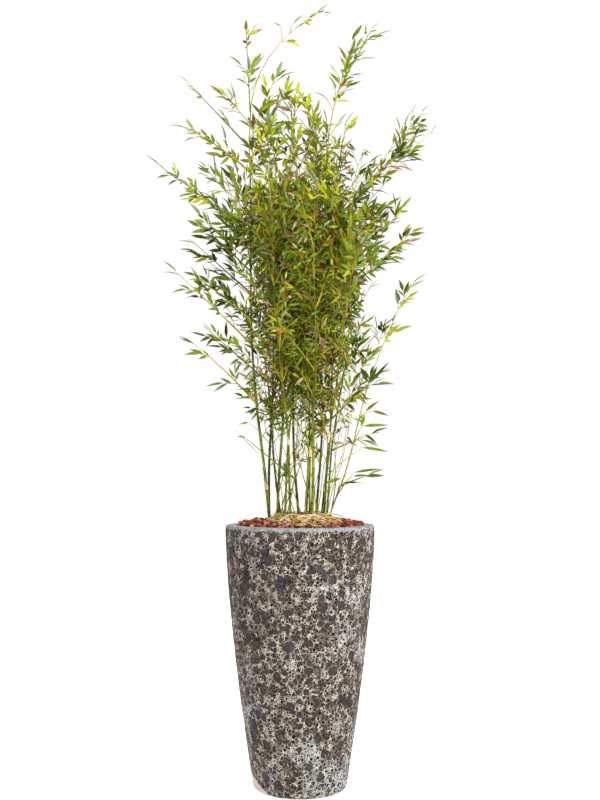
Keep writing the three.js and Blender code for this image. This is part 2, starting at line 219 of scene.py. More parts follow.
SPRAYS = {
    "left_crest": Spray("tall_left", 930, 192, 45, 236, 0),
    "left_high": Spray("tall_left", 868, 172, 44, 252, 40),
    "left_long": Spray("tall_left", 718, 188, 36, 306, 4),
    "left_back_high": Spray("back_left", 640, 172, 44, 210, 0),
    "left_thin": Spray("tall_left", 566, 174, 42, 216, 0),
    "left_reaching": Spray("back_left", 500, 160, 38, 262, 6),
    "left_middle": Spray("tall_left", 436, 192, 44, 288, 6),
    "left_low": Spray("back_left", 350, 176, 42, 232, 4),
    "left_drooping": Spray("tall_left", 290, 182, 48, 268, 26),
    "left_lowest": Spray("middle_left", 102, 200, 38, 190, 0),
    "right_crest": Spray("right_inner", 760, -8, 46, 342, 0),
    "right_steep": Spray("right", 578, 12, 52, 300, 0),
    "right_long": Spray("right_inner", 527, -12, 42, 330, 4),
    "right_middle": Spray("right", 350, 5, 46, 220, 0),
    "right_low": Spray("right_front", 250, -10, 44, 186, 4),
    "right_lower": Spray("right_back", 174, -15, 24, 140, 4),
    "right_lowest": Spray("right_outer", 86, -20, 22, 104, 2),
}


# Finer branches that fill the crown between the side sprays.
SHOULDERS = (
    Spray("tall_left", 560, 170, 40, 210, 4),
    Spray("tall_left", 640, 178, 44, 200, 0),
    Spray("tall_left", 700, 165, 48, 190, 6),
    Spray("tall_left", 760, 190, 46, 190, 4),
    Spray("left", 620, 190, 48, 200, 0),
    Spray("left", 700, 176, 50, 210, 0),
    Spray("left", 470, 184, 42, 190, 4),
    Spray("tall_left", 500, 176, 40, 190, 6),
    Spray("tall_left", 900, 20, 62, 230, 0),
    Spray("tall_left", 1020, 120, 84, 240, 0),
    Spray("tall_right", 1040, 8, 74, 210, 0),
    Spray("tall_right", 1090, 4, 62, 190, 0),
    Spray("right_inner", 770, -4, 50, 385, 0),
    Spray("right_inner", 780, 4, 45, 350, 0),
    Spray("right_inner", 765, -10, 41, 362, 0),
    Spray("right", 450, 0, 55, 190, 0),
    Spray("back_left", 600, 150, 46, 170, 4),
    Spray("back_left", 720, 170, 46, 160, 0),
    Spray("front_left", 640, 205, 48, 190, 4),
    Spray("right", 560, -10, 40, 220, 4),
    Spray("right", 740, 20, 48, 190, 0),
    Spray("right_inner", 620, -20, 44, 220, 0),
    Spray("right_inner", 700, 4, 38, 210, 6),
    Spray("right_inner", 800, -12, 50, 170, 0),
    Spray("right_back", 600, 12, 44, 170, 0),
    Spray("right_front", 560, -30, 46, 170, 4),
    Spray("tall_left", 990, 165, 52, 130, 0),
    Spray("left_inner", 940, 80, 70, 150, 0),
    Spray("tall_right", 930, 175, 64, 160, 0),
    Spray("right_inner", 880, 60, 72, 190, 0),
    Spray("middle_back", 790, 88, 42, 160, 0),
    Spray("middle_back", 860, 76, 50, 140, 0),
    Spray("right_back", 700, 70, 42, 160, 0),
    Spray("front_left", 740, 264, 42, 160, 0),
    Spray("front", 690, 274, 40, 162, 0),
)


@dataclass(frozen=True)
class Blade:
    """One leaf that stands alone, on its own thin twig, in millimetres above the root ball.

    at is the height where its twig leaves its cane, root where the leaf begins and tip where it ends.
    """

    cane: str
    at: float
    root: tuple[float, float, float]
    tip: tuple[float, float, float]
    width: float
    withered: bool = False


BLADES = (
    Blade("right_outer", 60, (102, -44, 105), (56, -60, 92), 11.0),
    Blade("right_outer", 60, (132, -50, 119), (203, -66, 131), 8.0),
    Blade("right_outer", 60, (130, -50, 110), (168, -60, 114), 6.5),
    Blade("right_outer", 60, (102, -46, 94), (156, -70, 96), 6.0, withered=True),
    Blade("right_front", 110, (153, -46, 181), (220, -60, 172), 9.0),
    Blade("right_outer", 190, (155, -40, 234), (220, -54, 238), 9.0),
    Blade("right_outer", 190, (160, -40, 243), (124, -54, 256), 7.0, withered=True),
    Blade("right_outer", 190, (160, -40, 214), (190, -54, 192), 8.0),
    Blade("right_outer", 250, (178, -40, 272), (220, -54, 260), 9.0),
    Blade("right_outer", 250, (162, -40, 270), (195, -50, 298), 9.0),
    Blade("right_outer", 250, (160, -36, 262), (150, -48, 232), 9.0),
    Blade("right_outer", 300, (174, -42, 340), (220, -56, 394), 8.5),
    Blade("right_outer", 300, (130, -40, 344), (154, -52, 372), 10.0),
    Blade("tall_left", 110, (-94, -50, 155), (-167, -60, 236), 2.4),
    Blade("tall_left", 300, (-91, -44, 327), (-160, -52, 326), 6.0),
    Blade("tall_left", 262, (-102, -44, 278), (-138, -54, 266), 8.0),
    Blade("left", 190, (-126, -50, 243), (-152, -58, 238), 6.0, withered=True),
    Blade("tall_left", 1205, (-48, -40, 1242), (-65, -46, 1251), 5.0),
    Blade("tall_left", 1225, (-19, -36, 1250), (9, -42, 1275), 4.5),
    Blade("tall_left", 1240, (-5, -36, 1243), (12, -42, 1252), 4.0),
    Blade("tall_left", 1258, (20, -32, 1268), (44, -40, 1274), 5.5, withered=True),
    Blade("tall_left", 1274, (46, -30, 1279), (64, -36, 1288), 5.0),
    Blade("tall_left", 1280, (60, -30, 1282), (80, -36, 1280), 5.0),
)


@dataclass(frozen=True)
class Stem:
    """A leafy stem: its line, its sizes, its seed, and the share of its twigs that it keeps.

    blade is how long its leaves are beside the usual, leaves how many a twig has at the least, and bare the
    share of its length that has no twigs.
    """

    path: Path
    length: float
    spread: float
    radius: float
    seed: int
    fullness: float
    blade: float = 1.0
    leaves: int = 2
    bare: float = 0.22


# ---- finishes --------------------------------------------------------------------------------------------

Colour = tuple[float, float, float]


def linear(red: int, green: int, blue: int) -> Colour:
    """A colour given as screen values from 0 to 255, as the linear values that shaders take."""
    shares = (red / 255, green / 255, blue / 255)
    return tuple(c / 12.92 if c <= 0.04045 else ((c + 0.055) / 1.055) ** 2.4 for c in shares)


class Nodes:
    """Adds nodes to a shader, a shader group or a geometry tree, and links what feeds them."""

    def __init__(self, tree: bpy.types.NodeTree) -> None:
        """Keeps the tree that its nodes are added to."""
        self.tree = tree

    def add(self, kind: str, **settings: object) -> bpy.types.Node:
        """A new node of a kind, with its properties set."""
        node = self.tree.nodes.new(kind)
        for name, value in settings.items():
            setattr(node, name, value)
        return node

    def feed(self, socket: bpy.types.NodeSocket, value: object) -> None:
        """Links a socket from another, or sets its own value.

        Args:
            socket: The input socket.
            value: An output socket, a number, a vector or a colour.
        """
        if isinstance(value, bpy.types.NodeSocket):
            self.tree.links.new(value, socket)
        elif isinstance(value, (tuple, list)) and len(socket.default_value) == 4 and len(value) == 3:
            socket.default_value = (*value, 1.0)
        else:
            socket.default_value = value

    def math(self, operation: str, first: object, second: object = 0.0) -> bpy.types.NodeSocket:
        """The result of a Math node."""
        node = self.add("ShaderNodeMath", operation=operation)
        self.feed(node.inputs[0], first)
        self.feed(node.inputs[1], second)
        return node.outputs[0]

    def vector(self, operation: str, first: object, second: object) -> bpy.types.NodeSocket:
        """The result of a Vector Math node; SCALE takes a number second."""
        node = self.add("ShaderNodeVectorMath", operation=operation)
        self.feed(node.inputs[0], first)
        self.feed(node.inputs["Scale" if operation == "SCALE" else 1], second)
        return node.outputs["Value" if operation in ("DISTANCE", "LENGTH") else "Vector"]

    def remap(
        self,
        value: object,
        low: object,
        high: object,
        to_low: object = 0.0,
        to_high: object = 1.0,
        smooth: bool = True,
    ) -> bpy.types.NodeSocket:
        """The value carried from one range to another, and held at its ends."""
        kind = "SMOOTHSTEP" if smooth else "LINEAR"
        node = self.add("ShaderNodeMapRange", interpolation_type=kind, clamp=True)
        for index, part in enumerate((value, low, high, to_low, to_high)):
            self.feed(node.inputs[index], part)
        return node.outputs[0]

    def noise(
        self, vector: object, scale: float, detail: float = 2.0, output: str = "Fac", roughness: float = 0.5
    ) -> bpy.types.NodeSocket:
        """An output of a Noise Texture: Fac, or Color for three at once."""
        node = self.add("ShaderNodeTexNoise")
        self.feed(node.inputs["Vector"], vector)
        node.inputs["Scale"].default_value = scale
        node.inputs["Detail"].default_value = detail
        node.inputs["Roughness"].default_value = roughness
        return node.outputs[output]

    def cells(self, vector: object, scale: float, edges: bool = False) -> bpy.types.Node:
        """A Voronoi Texture node, measuring to the cells' middles, or to their edges."""
        node = self.add("ShaderNodeTexVoronoi", feature="DISTANCE_TO_EDGE" if edges else "F1")
        self.feed(node.inputs["Vector"], vector)
        node.inputs["Scale"].default_value = scale
        return node

    def mix(self, factor: object, first: object, second: object) -> bpy.types.NodeSocket:
        """Two colours mixed by a factor."""
        node = self.add("ShaderNodeMix", data_type="RGBA")
        self.feed(node.inputs[0], factor)
        self.feed(node.inputs[6], first)
        self.feed(node.inputs[7], second)
        return node.outputs[2]

    def split(self, vector: object) -> list[bpy.types.NodeSocket]:
        """The three parts of a vector or a colour."""
        node = self.add("ShaderNodeSeparateXYZ")
        self.feed(node.inputs[0], vector)
        return list(node.outputs)


def shader_group(
    name: str, outputs: dict[str, str], build: Callable[[Nodes, object], dict]
) -> bpy.types.NodeTree:
    """A shader node group with one Vector input, built once and found again by its name.

    Args:
        name: The group's name.
        outputs: Each output's name and socket type.
        build: Takes the nodes and the input vector, and gives the socket for each output's name.

    Returns:
        The group's node tree.
    """
    found = bpy.data.node_groups.get(name)
    if found:
        return found
    tree = bpy.data.node_groups.new(name, "ShaderNodeTree")
    tree.interface.new_socket("Vector", in_out="INPUT", socket_type="NodeSocketVector")
    for output, kind in outputs.items():
        tree.interface.new_socket(output, in_out="OUTPUT", socket_type=kind)
    nodes = Nodes(tree)
    made = build(nodes, nodes.add("NodeGroupInput").outputs["Vector"])
    end = nodes.add("NodeGroupOutput")
    for output in outputs:
        nodes.feed(end.inputs[output], made[output])
    return tree


def speckle_pattern(nodes: Nodes, position: object) -> dict:
    """Fine and broad mottling that the plain finishes share."""
    broad = nodes.noise(position, 38.0, 3.0)
    fine = nodes.noise(position, 420.0, 2.0)
    return {"Broad": broad, "Fine": fine}


SPECKLE = {"Broad": "NodeSocketFloat", "Fine": "NodeSocketFloat"}


@dataclass(frozen=True)
class MottledFinish:
    """A plain finish whose colour wavers between two near tones, with a fine bump.

    underside is the tone that the back of a thin leaf shows, where it differs from its face.
    """

    name: str
    tone: Colour
    other_tone: Colour
    roughness: float = 0.6
    bump: float = 0.0
    underside: Colour | None = None
    gloss: float = 0.10

    def material(self) -> bpy.types.Material:
        """The finish as a material, made once and found again by its name."""
        found = bpy.data.materials.get(self.name)
        if found:
            return found
        material = bpy.data.materials.new(self.name)
        material.use_nodes = True
        nodes = Nodes(material.node_tree)
        shader = material.node_tree.nodes["Principled BSDF"]
        shader.inputs["Specular IOR Level"].default_value = self.gloss
        speckle = nodes.add("ShaderNodeGroup")
        speckle.node_tree = shader_group("speckle", SPECKLE, speckle_pattern)
        nodes.feed(speckle.inputs["Vector"], nodes.add("ShaderNodeTexCoord").outputs["Object"])
        share = nodes.remap(speckle.outputs["Broad"], 0.35, 0.65)
        colour = nodes.mix(share, self.tone, self.other_tone)
        if self.underside:
            back = nodes.add("ShaderNodeNewGeometry").outputs["Backfacing"]
            colour = nodes.mix(back, colour, self.underside)
        nodes.feed(shader.inputs["Base Color"], colour)
        low, high = self.roughness - 0.08, self.roughness + 0.08
        nodes.feed(shader.inputs["Roughness"], nodes.remap(speckle.outputs["Fine"], 0.3, 0.7, low, high))
        if self.bump:
            bump = nodes.add("ShaderNodeBump")
            bump.inputs["Strength"].default_value = 0.6
            bump.inputs["Distance"].default_value = self.bump
            nodes.feed(bump.inputs["Height"], speckle.outputs["Fine"])
            nodes.feed(shader.inputs["Normal"], bump.outputs["Normal"])
        return material


class Leaf(Enum):
    """The tones that leaves are dealt, spray by spray."""

    FRESH = MottledFinish(
        "leaf_fresh",
        linear(110, 133, 18),
        linear(86, 110, 13),
        0.5,
        underside=linear(118, 134, 30),
        gloss=0.05,
    )
    # LIME_AND_BACKLIGHT: a yellow-green that some leaves have, and also painted light: it is dealt mostly at
    # the crown's top to stand for its bright backlit leaves.
    LIME_AND_BACKLIGHT = MottledFinish(
        "leaf_lime_and_backlight",
        linear(166, 172, 20),
        linear(142, 154, 16),
        0.5,
        underside=linear(158, 164, 40),
        gloss=0.05,
    )
    # DEEP_AND_SHADE: a dark green that some leaves have, and also painted shade: it is dealt more in the lower
    # heart of the crown, where shade falls.
    DEEP_AND_SHADE = MottledFinish(
        "leaf_deep_and_shade",
        linear(46, 66, 10),
        linear(62, 82, 12),
        0.45,
        underside=linear(84, 100, 26),
        gloss=0.06,
    )
    # BLUISH_SHEEN: painted sheen, a blue-grey green that stands for the grey-blue gleam of light on the leaves'
    # faces.
    BLUISH_SHEEN = MottledFinish(
        "leaf_bluish_sheen",
        linear(106, 134, 82),
        linear(84, 110, 54),
        0.5,
        underside=linear(130, 150, 104),
        gloss=0.12,
    )
    DRY = MottledFinish("leaf_dry", linear(186, 150, 112), linear(144, 110, 80), 0.75)
    RUSSET = MottledFinish("leaf_russet", linear(156, 104, 48), linear(126, 80, 38), 0.6)


TONE = {leaf: index for index, leaf in enumerate(Leaf)}


class Bark(Enum):
    """The finishes of canes and twigs."""

    CANE = MottledFinish("cane_skin", linear(106, 116, 14), linear(60, 76, 8), 0.4, bump=0.0003)
    YOUNG_CANE = MottledFinish("young_cane_skin", linear(162, 156, 32), linear(116, 120, 20), 0.4, bump=0.0003)
    OLD_CANE = MottledFinish("old_cane_skin", linear(90, 84, 20), linear(50, 56, 10), 0.45, bump=0.0004)
    NODE = MottledFinish("cane_node", linear(44, 40, 18), linear(66, 58, 26), 0.6, bump=0.0005)
    SHEATH = MottledFinish("dry_sheath", linear(212, 186, 150), linear(176, 142, 108), 0.8, bump=0.0005)
    TWIG = MottledFinish("twig_golden", linear(190, 168, 30), linear(154, 138, 20), 0.5)
    GREEN_TWIG = MottledFinish("twig_green", linear(116, 122, 30), linear(84, 96, 22), 0.5)
    BROWN_TWIG = MottledFinish("twig_brown", linear(134, 96, 52), linear(104, 78, 38), 0.6)


class Litter(Enum):
    """The finishes of what lies on top of the pot."""

    STRAW = MottledFinish("straw", linear(210, 176, 124), linear(172, 132, 84), 0.8)
    PALE_STRAW = MottledFinish("pale_straw", linear(240, 222, 180), linear(214, 188, 142), 0.8)
    BROWN_STRAW = MottledFinish("brown_straw", linear(150, 108, 66), linear(120, 84, 52), 0.85)
    GREEN_STRAW = MottledFinish("green_straw", linear(190, 184, 62), linear(160, 162, 44), 0.6)
    SOIL = MottledFinish("soil", linear(96, 72, 50), linear(70, 52, 38), 0.95, bump=0.002)
    # The three lava tones are dealt to the stones at random. They are partly the rock's own varied colour and
    # partly painted light: the pale tone a painted highlight, the dark tone painted shade.
    LAVA = MottledFinish("lava_red", linear(154, 84, 62), linear(112, 60, 44), 0.95, bump=0.001)
    DARK_LAVA_AND_SHADE = MottledFinish("lava_dark_and_shade", linear(96, 54, 40), linear(62, 38, 30), 0.95, bump=0.001)
    PALE_LAVA_AND_HIGHLIGHT = MottledFinish("lava_pale_and_highlight", linear(206, 138, 110), linear(168, 102, 78), 0.95, bump=0.001)


@dataclass(frozen=True)
class Bubbles:
    """One size of bubble in the glaze, in metres, with the share of its cells that burst open.

    wall is half of the wall that stays between two bubbles.
    """

    cell: float
    share: float
    smallest: float
    largest: float
    wall: float

    def gap(self, nodes: Nodes, spot: object, shrink: object) -> bpy.types.NodeSocket:
        """How far a point lies outside the nearest bubble of this size, less than 0 inside it.

        Args:
            nodes: The tree to build in.
            spot: The point.
            shrink: How much smaller than full size the bubbles are here, in metres.

        Returns:
            The socket of the gap, in metres.
        """
        cells = nodes.cells(spot, 1 / self.cell)
        draw = nodes.split(cells.outputs["Color"])[0]
        radius = nodes.remap(draw, 1 - self.share, 1.0, self.smallest, self.largest, smooth=False)
        absent = nodes.math("MULTIPLY", nodes.math("LESS_THAN", draw, 1 - self.share), self.cell)
        radius = nodes.math("SUBTRACT", nodes.math("SUBTRACT", radius, absent), shrink)
        away = nodes.math("MULTIPLY", cells.outputs["Distance"], self.cell)
        edge = nodes.cells(spot, 1 / self.cell, edges=True).outputs["Distance"]
        inside_wall = nodes.math("SUBTRACT", self.wall, nodes.math("MULTIPLY", edge, self.cell))
        return nodes.math("MAXIMUM", nodes.math("SUBTRACT", away, radius), inside_wall)


BUBBLES = (
    Bubbles(cell=0.026, share=0.46, smallest=0.0062, largest=0.0160, wall=0.0008),
    Bubbles(cell=0.0142, share=0.78, smallest=0.0038, largest=0.0095, wall=0.0006),
    Bubbles(cell=0.0072, share=0.84, smallest=0.0024, largest=0.0056, wall=0.0005),
    Bubbles(cell=0.0038, share=0.94, smallest=0.0014, largest=0.0030, wall=0.0004),
    Bubbles(cell=0.0024, share=0.96, smallest=0.0009, largest=0.0019, wall=0.0003),
)


def crater_pattern(nodes: Nodes, position: object) -> dict:
    """Where bubbles of every size burst open in the glaze, and left pale walls between them.

    The same nodes serve the glaze's colour and its relief, so that the two fall in the same places.

    Args:
        nodes: The shader group or geometry tree to build in.
        position: The socket of the point on the pot, in metres.

    Returns:
        Gap, the distance outside the nearest bubble in metres, the masks Large, Small, HazeAndHighlight, where
        the walls spread and whiten, lower down as the glaze's pale bloom and towards +X as a painted highlight
        on the lit side,
        Slate, where the glaze ran smooth, and Rim, and Tone, which wavers slowly over the pot.
    """
    shift = nodes.vector("SUBTRACT", nodes.noise(position, 85.0, 2.0, "Color"), (0.5, 0.5, 0.5))
    spot = nodes.vector("ADD", position, nodes.vector("SCALE", shift, 0.017))
    near_spot = nodes.vector("ADD", position, nodes.vector("SCALE", shift, 0.005))
    x, _, height = nodes.split(position)
    broad, other, third = nodes.split(nodes.noise(position, 13.0, 3.0, "Color"))
    # The haze is the glaze's pale bloom, more towards the foot, and partly a painted highlight: it grows
    # towards +X, the side that the key light falls on, where it whitens the walls.
    haze_and_highlight = nodes.math("ADD", broad, nodes.remap(height, 0.0, 0.6, 0.08, -0.03, smooth=False))
    haze_and_highlight = nodes.remap(nodes.math("ADD", haze_and_highlight, nodes.math("MULTIPLY", x, 0.25)), 0.48, 0.72)
    slate = nodes.math("ADD", other, nodes.remap(height, 0.0, 0.6, -0.06, 0.05, smooth=False))
    slate = nodes.remap(nodes.math("SUBTRACT", slate, nodes.math("MULTIPLY", x, 0.22)), 0.61, 0.76)
    slate = nodes.math("MULTIPLY", slate, nodes.remap(nodes.noise(position, 45.0, 3.0), 0.36, 0.50))
    gaps: list[object] = []
    for size in BUBBLES:
        shrink = nodes.math("MULTIPLY", haze_and_highlight, size.largest * 0.16)
        gap = size.gap(nodes, spot if len(gaps) < 2 else near_spot, shrink)
        for larger in gaps:
            gap = nodes.math("MAXIMUM", gap, nodes.math("SUBTRACT", size.wall * 2.0, larger))
        gaps.append(gap)
    large = nodes.remap(nodes.math("MINIMUM", gaps[0], gaps[1]), -0.0007, 0.0002, 1.0, 0.0)
    least = nodes.math("MINIMUM", nodes.math("MINIMUM", gaps[2], gaps[3]), gaps[4])
    small = nodes.remap(least, -0.0005, 0.0002, 1.0, 0.0)
    gap = nodes.math("MINIMUM", nodes.math("MINIMUM", gaps[0], gaps[1]), least)
    ragged = nodes.math("MULTIPLY", nodes.math("SUBTRACT", nodes.noise(position, 130.0, 3.0), 0.5), 0.022)
    rim = nodes.remap(nodes.math("ADD", height, ragged), POT.height - 0.011, POT.height - 0.005)
    return {"Gap": gap, "Large": large, "Small": small, "HazeAndHighlight": haze_and_highlight, "Slate": slate, "Rim": rim, "Tone": third}


CRATER_MASKS = {name: "NodeSocketFloat" for name in ("Gap", "Large", "Small", "HazeAndHighlight", "Slate", "Rim", "Tone")}


@dataclass(frozen=True)
class CraterGlaze:
    """The pot's glaze: dark burst bubbles between pale walls, with painted shade deep in the craters, a plain
    grey rim and one bare patch of clay.
    """

    taupe: Colour = linear(48, 39, 35)
    slate: Colour = linear(56, 56, 62)
    # pit_shade: the near-black painted shade deep in the craters and in the smallest holes.
    pit_shade: Colour = linear(14, 11, 9)
    cream: Colour = linear(214, 203, 184)
    tan: Colour = linear(142, 122, 103)
    # white: the pale bloom on the walls, which also serves as a painted highlight towards +X.
    white: Colour = linear(222, 222, 219)
    umber: Colour = linear(60, 51, 44)
    rim: Colour = linear(150, 150, 152)
    clay: Colour = linear(200, 192, 178)
    clay_spot: tuple[float, float, float] = (-0.119, -0.026, 0.0)
    clay_height: float = 0.046

    def material(self) -> bpy.types.Material:
        """The glaze as a material."""
        material = bpy.data.materials.new("crater_glaze")
        material.use_nodes = True
        nodes = Nodes(material.node_tree)
        shader = material.node_tree.nodes["Principled BSDF"]
        place = nodes.add("ShaderNodeTexCoord").outputs["Object"]
        shader.inputs["Specular IOR Level"].default_value = 0.16
        masks = nodes.add("ShaderNodeGroup")
        masks.node_tree = shader_group("crater_masks", CRATER_MASKS, crater_pattern)
        nodes.feed(masks.inputs["Vector"], place)
        out = masks.outputs
        fine = nodes.noise(place, 320.0, 3.0)
        wall = nodes.mix(nodes.remap(nodes.noise(place, 95.0, 3.0), 0.38, 0.54), self.umber, self.tan)
        wall = nodes.mix(nodes.remap(nodes.noise(place, 60.0, 3.0), 0.45, 0.60), wall, self.cream)
        # The walls whiten with the haze: the glaze's pale bloom, and towards +X a painted highlight.
        wall = nodes.mix(nodes.math("MULTIPLY", out["HazeAndHighlight"], 0.55), wall, self.white)
        wall = nodes.mix(nodes.remap(out["Gap"], 0.0004, 0.0013, 0.0, 0.8), wall, self.umber)
        bottom = nodes.mix(nodes.remap(nodes.noise(place, 12.0, 3.0), 0.50, 0.66), self.taupe, self.slate)
        # Painted shade: the bubbles' floors darken towards near black deep inside, and the smallest holes are
        # painted near black, for the shade in the craters.
        bottom = nodes.mix(nodes.remap(out["Gap"], -0.0045, -0.0004, 0.0, 0.5), bottom, self.pit_shade)
        bottom = nodes.mix(nodes.remap(fine, 0.48, 0.85, 0.0, 0.5), bottom, self.rim)
        bottom = nodes.mix(nodes.math("MULTIPLY", out["Small"], 0.95), bottom, self.pit_shade)
        standing = nodes.math("SUBTRACT", out["Gap"], nodes.math("MULTIPLY", out["Slate"], 0.0010))
        colour = nodes.mix(nodes.remap(standing, -0.0002, 0.0004), bottom, wall)
        colour = nodes.mix(out["Rim"], colour, self._rim_tone(nodes, place))
        colour = nodes.mix(self._bare_clay(nodes, place), colour, self.clay)
        nodes.feed(shader.inputs["Base Color"], colour)
        hollow = nodes.math("MAXIMUM", out["Large"], out["Slate"])
        rough = nodes.remap(nodes.noise(place, 200.0), 0.3, 0.7, 0.66, 0.9)
        nodes.feed(shader.inputs["Roughness"], nodes.mix(hollow, rough, (0.5, 0.5, 0.5)))
        relief = self._fade(nodes, nodes.remap(out["Gap"], -0.0012, 0.0004), out["Slate"], 0.7)
        relief = nodes.math("ADD", relief, nodes.math("MULTIPLY", fine, 0.5))
        relief = self._fade(nodes, relief, out["Rim"], 0.75)
        bump = nodes.add("ShaderNodeBump")
        bump.inputs["Strength"].default_value = 0.9
        bump.inputs["Distance"].default_value = 0.0012
        nodes.feed(bump.inputs["Height"], relief)
        nodes.feed(shader.inputs["Normal"], bump.outputs["Normal"])
        return material

    @staticmethod
    def _fade(nodes: Nodes, height: object, mask: object, share: float) -> bpy.types.NodeSocket:
        """A height lowered by a share where a mask is 1."""
        return nodes.math("MULTIPLY", height, nodes.math("SUBTRACT", 1.0, nodes.math("MULTIPLY", mask, share)))

    def _rim_tone(self, nodes: Nodes, place: object) -> bpy.types.NodeSocket:
        """The rim's grey, with darker wear and pale specks."""
        wear = nodes.remap(nodes.noise(place, 120.0, 3.0), 0.42, 0.75, 0.0, 0.7)
        specks = nodes.remap(nodes.noise(place, 260.0, 2.0), 0.60, 0.72, 0.0, 0.6)
        return nodes.mix(specks, nodes.mix(wear, self.rim, self.slate), self.cream)

    def _bare_clay(self, nodes: Nodes, place: object) -> bpy.types.NodeSocket:
        """The mask of the patch that the glaze didn't reach, at the foot."""
        x, y, z = nodes.split(place)
        level = nodes.add("ShaderNodeCombineXYZ")
        nodes.feed(level.inputs[0], x)
        nodes.feed(level.inputs[1], y)
        away = nodes.vector("DISTANCE", level.outputs[0], self.clay_spot)
        top = nodes.math("SUBTRACT", self.clay_height, nodes.math("MULTIPLY", away, 0.53))
        ragged = nodes.math("MULTIPLY", nodes.math("SUBTRACT", nodes.noise(place, 90.0, 2.0), 0.5), 0.012)
        return nodes.remap(nodes.math("ADD", nodes.math("SUBTRACT", z, top), ragged), -0.001, 0.001, 1.0, 0.0)


# ---- mesh helpers ----------------------------------------------------------------------------------------


def finished_piece(
    name: str, mesh: bpy.types.Mesh, finishes: Sequence[MottledFinish | CraterGlaze]
) -> bpy.types.Object:
    """Puts a mesh in the scene as a piece of the object.

    Args:
        name: The piece's name.
        mesh: Its finished mesh, in the part's frame.
        finishes: The finish for each material index.

    Returns:
        The new object, riding on the root body.
    """
    piece = bpy.data.objects.new(name, mesh)
    bpy.context.scene.collection.objects.link(piece)
    for finish in finishes:
        mesh.materials.append(finish.material())
    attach(piece, "root")
    LOG.info("%s: %d triangles", name, sum(len(p.vertices) - 2 for p in mesh.polygons))
    return piece


def mesh_from(bm: bmesh.types.BMesh, name: str, smooth: bool = True) -> bpy.types.Mesh:
    """Turns a bmesh into a mesh with its faces outwards, and frees the bmesh."""
    bmesh.ops.remove_doubles(bm, verts=bm.verts, dist=1e-6)
    bmesh.ops.recalc_face_normals(bm, faces=bm.faces)
    mesh = bpy.data.meshes.new(name)
    bm.to_mesh(mesh)
    bm.free()
    if smooth:
        mesh.shade_smooth()
    return mesh


class Swarm:
    """Many copies of small shapes, gathered as arrays and joined into one mesh."""

    def __init__(self) -> None:
        """Starts empty."""
        self.points: list[np.ndarray] = []
        self.corners: list[np.ndarray] = []
        self.sizes: list[np.ndarray] = []
        self.slots: list[np.ndarray] = []
        self.count = 0

    def add_tube(self, line: np.ndarray, radii: np.ndarray, sides: int, slot: int) -> None:
        """Adds one tube along a line of points, with its radius at each."""
        self.add(tube_points(line, radii, sides)[None], tube_faces(len(line), sides), np.array([slot]))

    def add(self, points: np.ndarray, faces: Sequence[Sequence[int]], slots: np.ndarray) -> None:
        """Adds copies of one shape.

        Args:
            points: The copies' points, as copies by points by 3.
            faces: The point numbers round each face of one copy.
            slots: The material index of each copy, or of each copy's faces.
        """
        copies, per_copy = points.shape[:2]
        flat = np.concatenate([np.asarray(face) for face in faces])
        offsets = self.count + np.arange(copies) * per_copy
        self.corners.append((offsets[:, None] + flat[None, :]).ravel())
        self.sizes.append(np.tile([len(face) for face in faces], copies))
        each = np.asarray(slots).reshape(copies, -1)
        self.slots.append(np.broadcast_to(each, (copies, len(faces))).ravel())
        self.points.append(points.reshape(-1, 3))
        self.count += copies * per_copy

    def mesh(self, name: str, smooth: bool) -> bpy.types.Mesh:
        """Everything gathered, as one mesh."""
        points, corners = np.concatenate(self.points), np.concatenate(self.corners)
        sizes, slots = np.concatenate(self.sizes), np.concatenate(self.slots)
        mesh = bpy.data.meshes.new(name)
        mesh.vertices.add(len(points))
        mesh.vertices.foreach_set("co", points.ravel().astype(np.float32))
        mesh.loops.add(len(corners))
        mesh.loops.foreach_set("vertex_index", corners.astype(np.int32))
        mesh.polygons.add(len(sizes))
        starts = np.concatenate([[0], np.cumsum(sizes)[:-1]])
        mesh.polygons.foreach_set("loop_start", starts.astype(np.int32))
        mesh.polygons.foreach_set("material_index", slots.astype(np.int32))
        mesh.polygons.foreach_set("use_smooth", np.full(len(sizes), smooth))
        mesh.update(calc_edges=True)
        mesh.validate()
        return mesh


def tube_points(line: np.ndarray, radii: np.ndarray, sides: int) -> np.ndarray:
    """The rings of a thin closed tube along a line, drawn in to a point at each end.

    Args:
        line: The tube's middle line, as points by 3.
        radii: The radius at each point.
        sides: How many sides it has.

    Returns:
        The first end, the rings one after another, and the last end.
    """
    along = unit(line[-1] - line[0])
    level = np.array([0.0, 1.0, 0.0]) if abs(along[2]) > 0.9 else UP
    side = unit(np.cross(level, along))
    other = np.cross(along, side)
    angles = np.arange(sides) * 2 * math.pi / sides
    ring = np.outer(np.cos(angles), side) + np.outer(np.sin(angles), other)
    rings = line[:, None, :] + radii[:, None, None] * ring[None, :, :]
    return np.vstack([line[:1], rings.reshape(-1, 3), line[-1:]])


def tube_faces(rings: int, sides: int) -> list[tuple[int, ...]]:
    """The faces of a tube from tube_points, pointing outwards."""
    last = 1 + rings * sides
    faces: list[tuple[int, ...]] = []
    for s in range(sides):
        following = (s + 1) % sides
        faces.append((0, 1 + following, 1 + s))
        faces.append((last, last - sides + s, last - sides + following))
        for r in range(rings - 1):
            start = 1 + r * sides
            faces.append((start + s, start + following, start + sides + following, start + sides + s))
    return faces


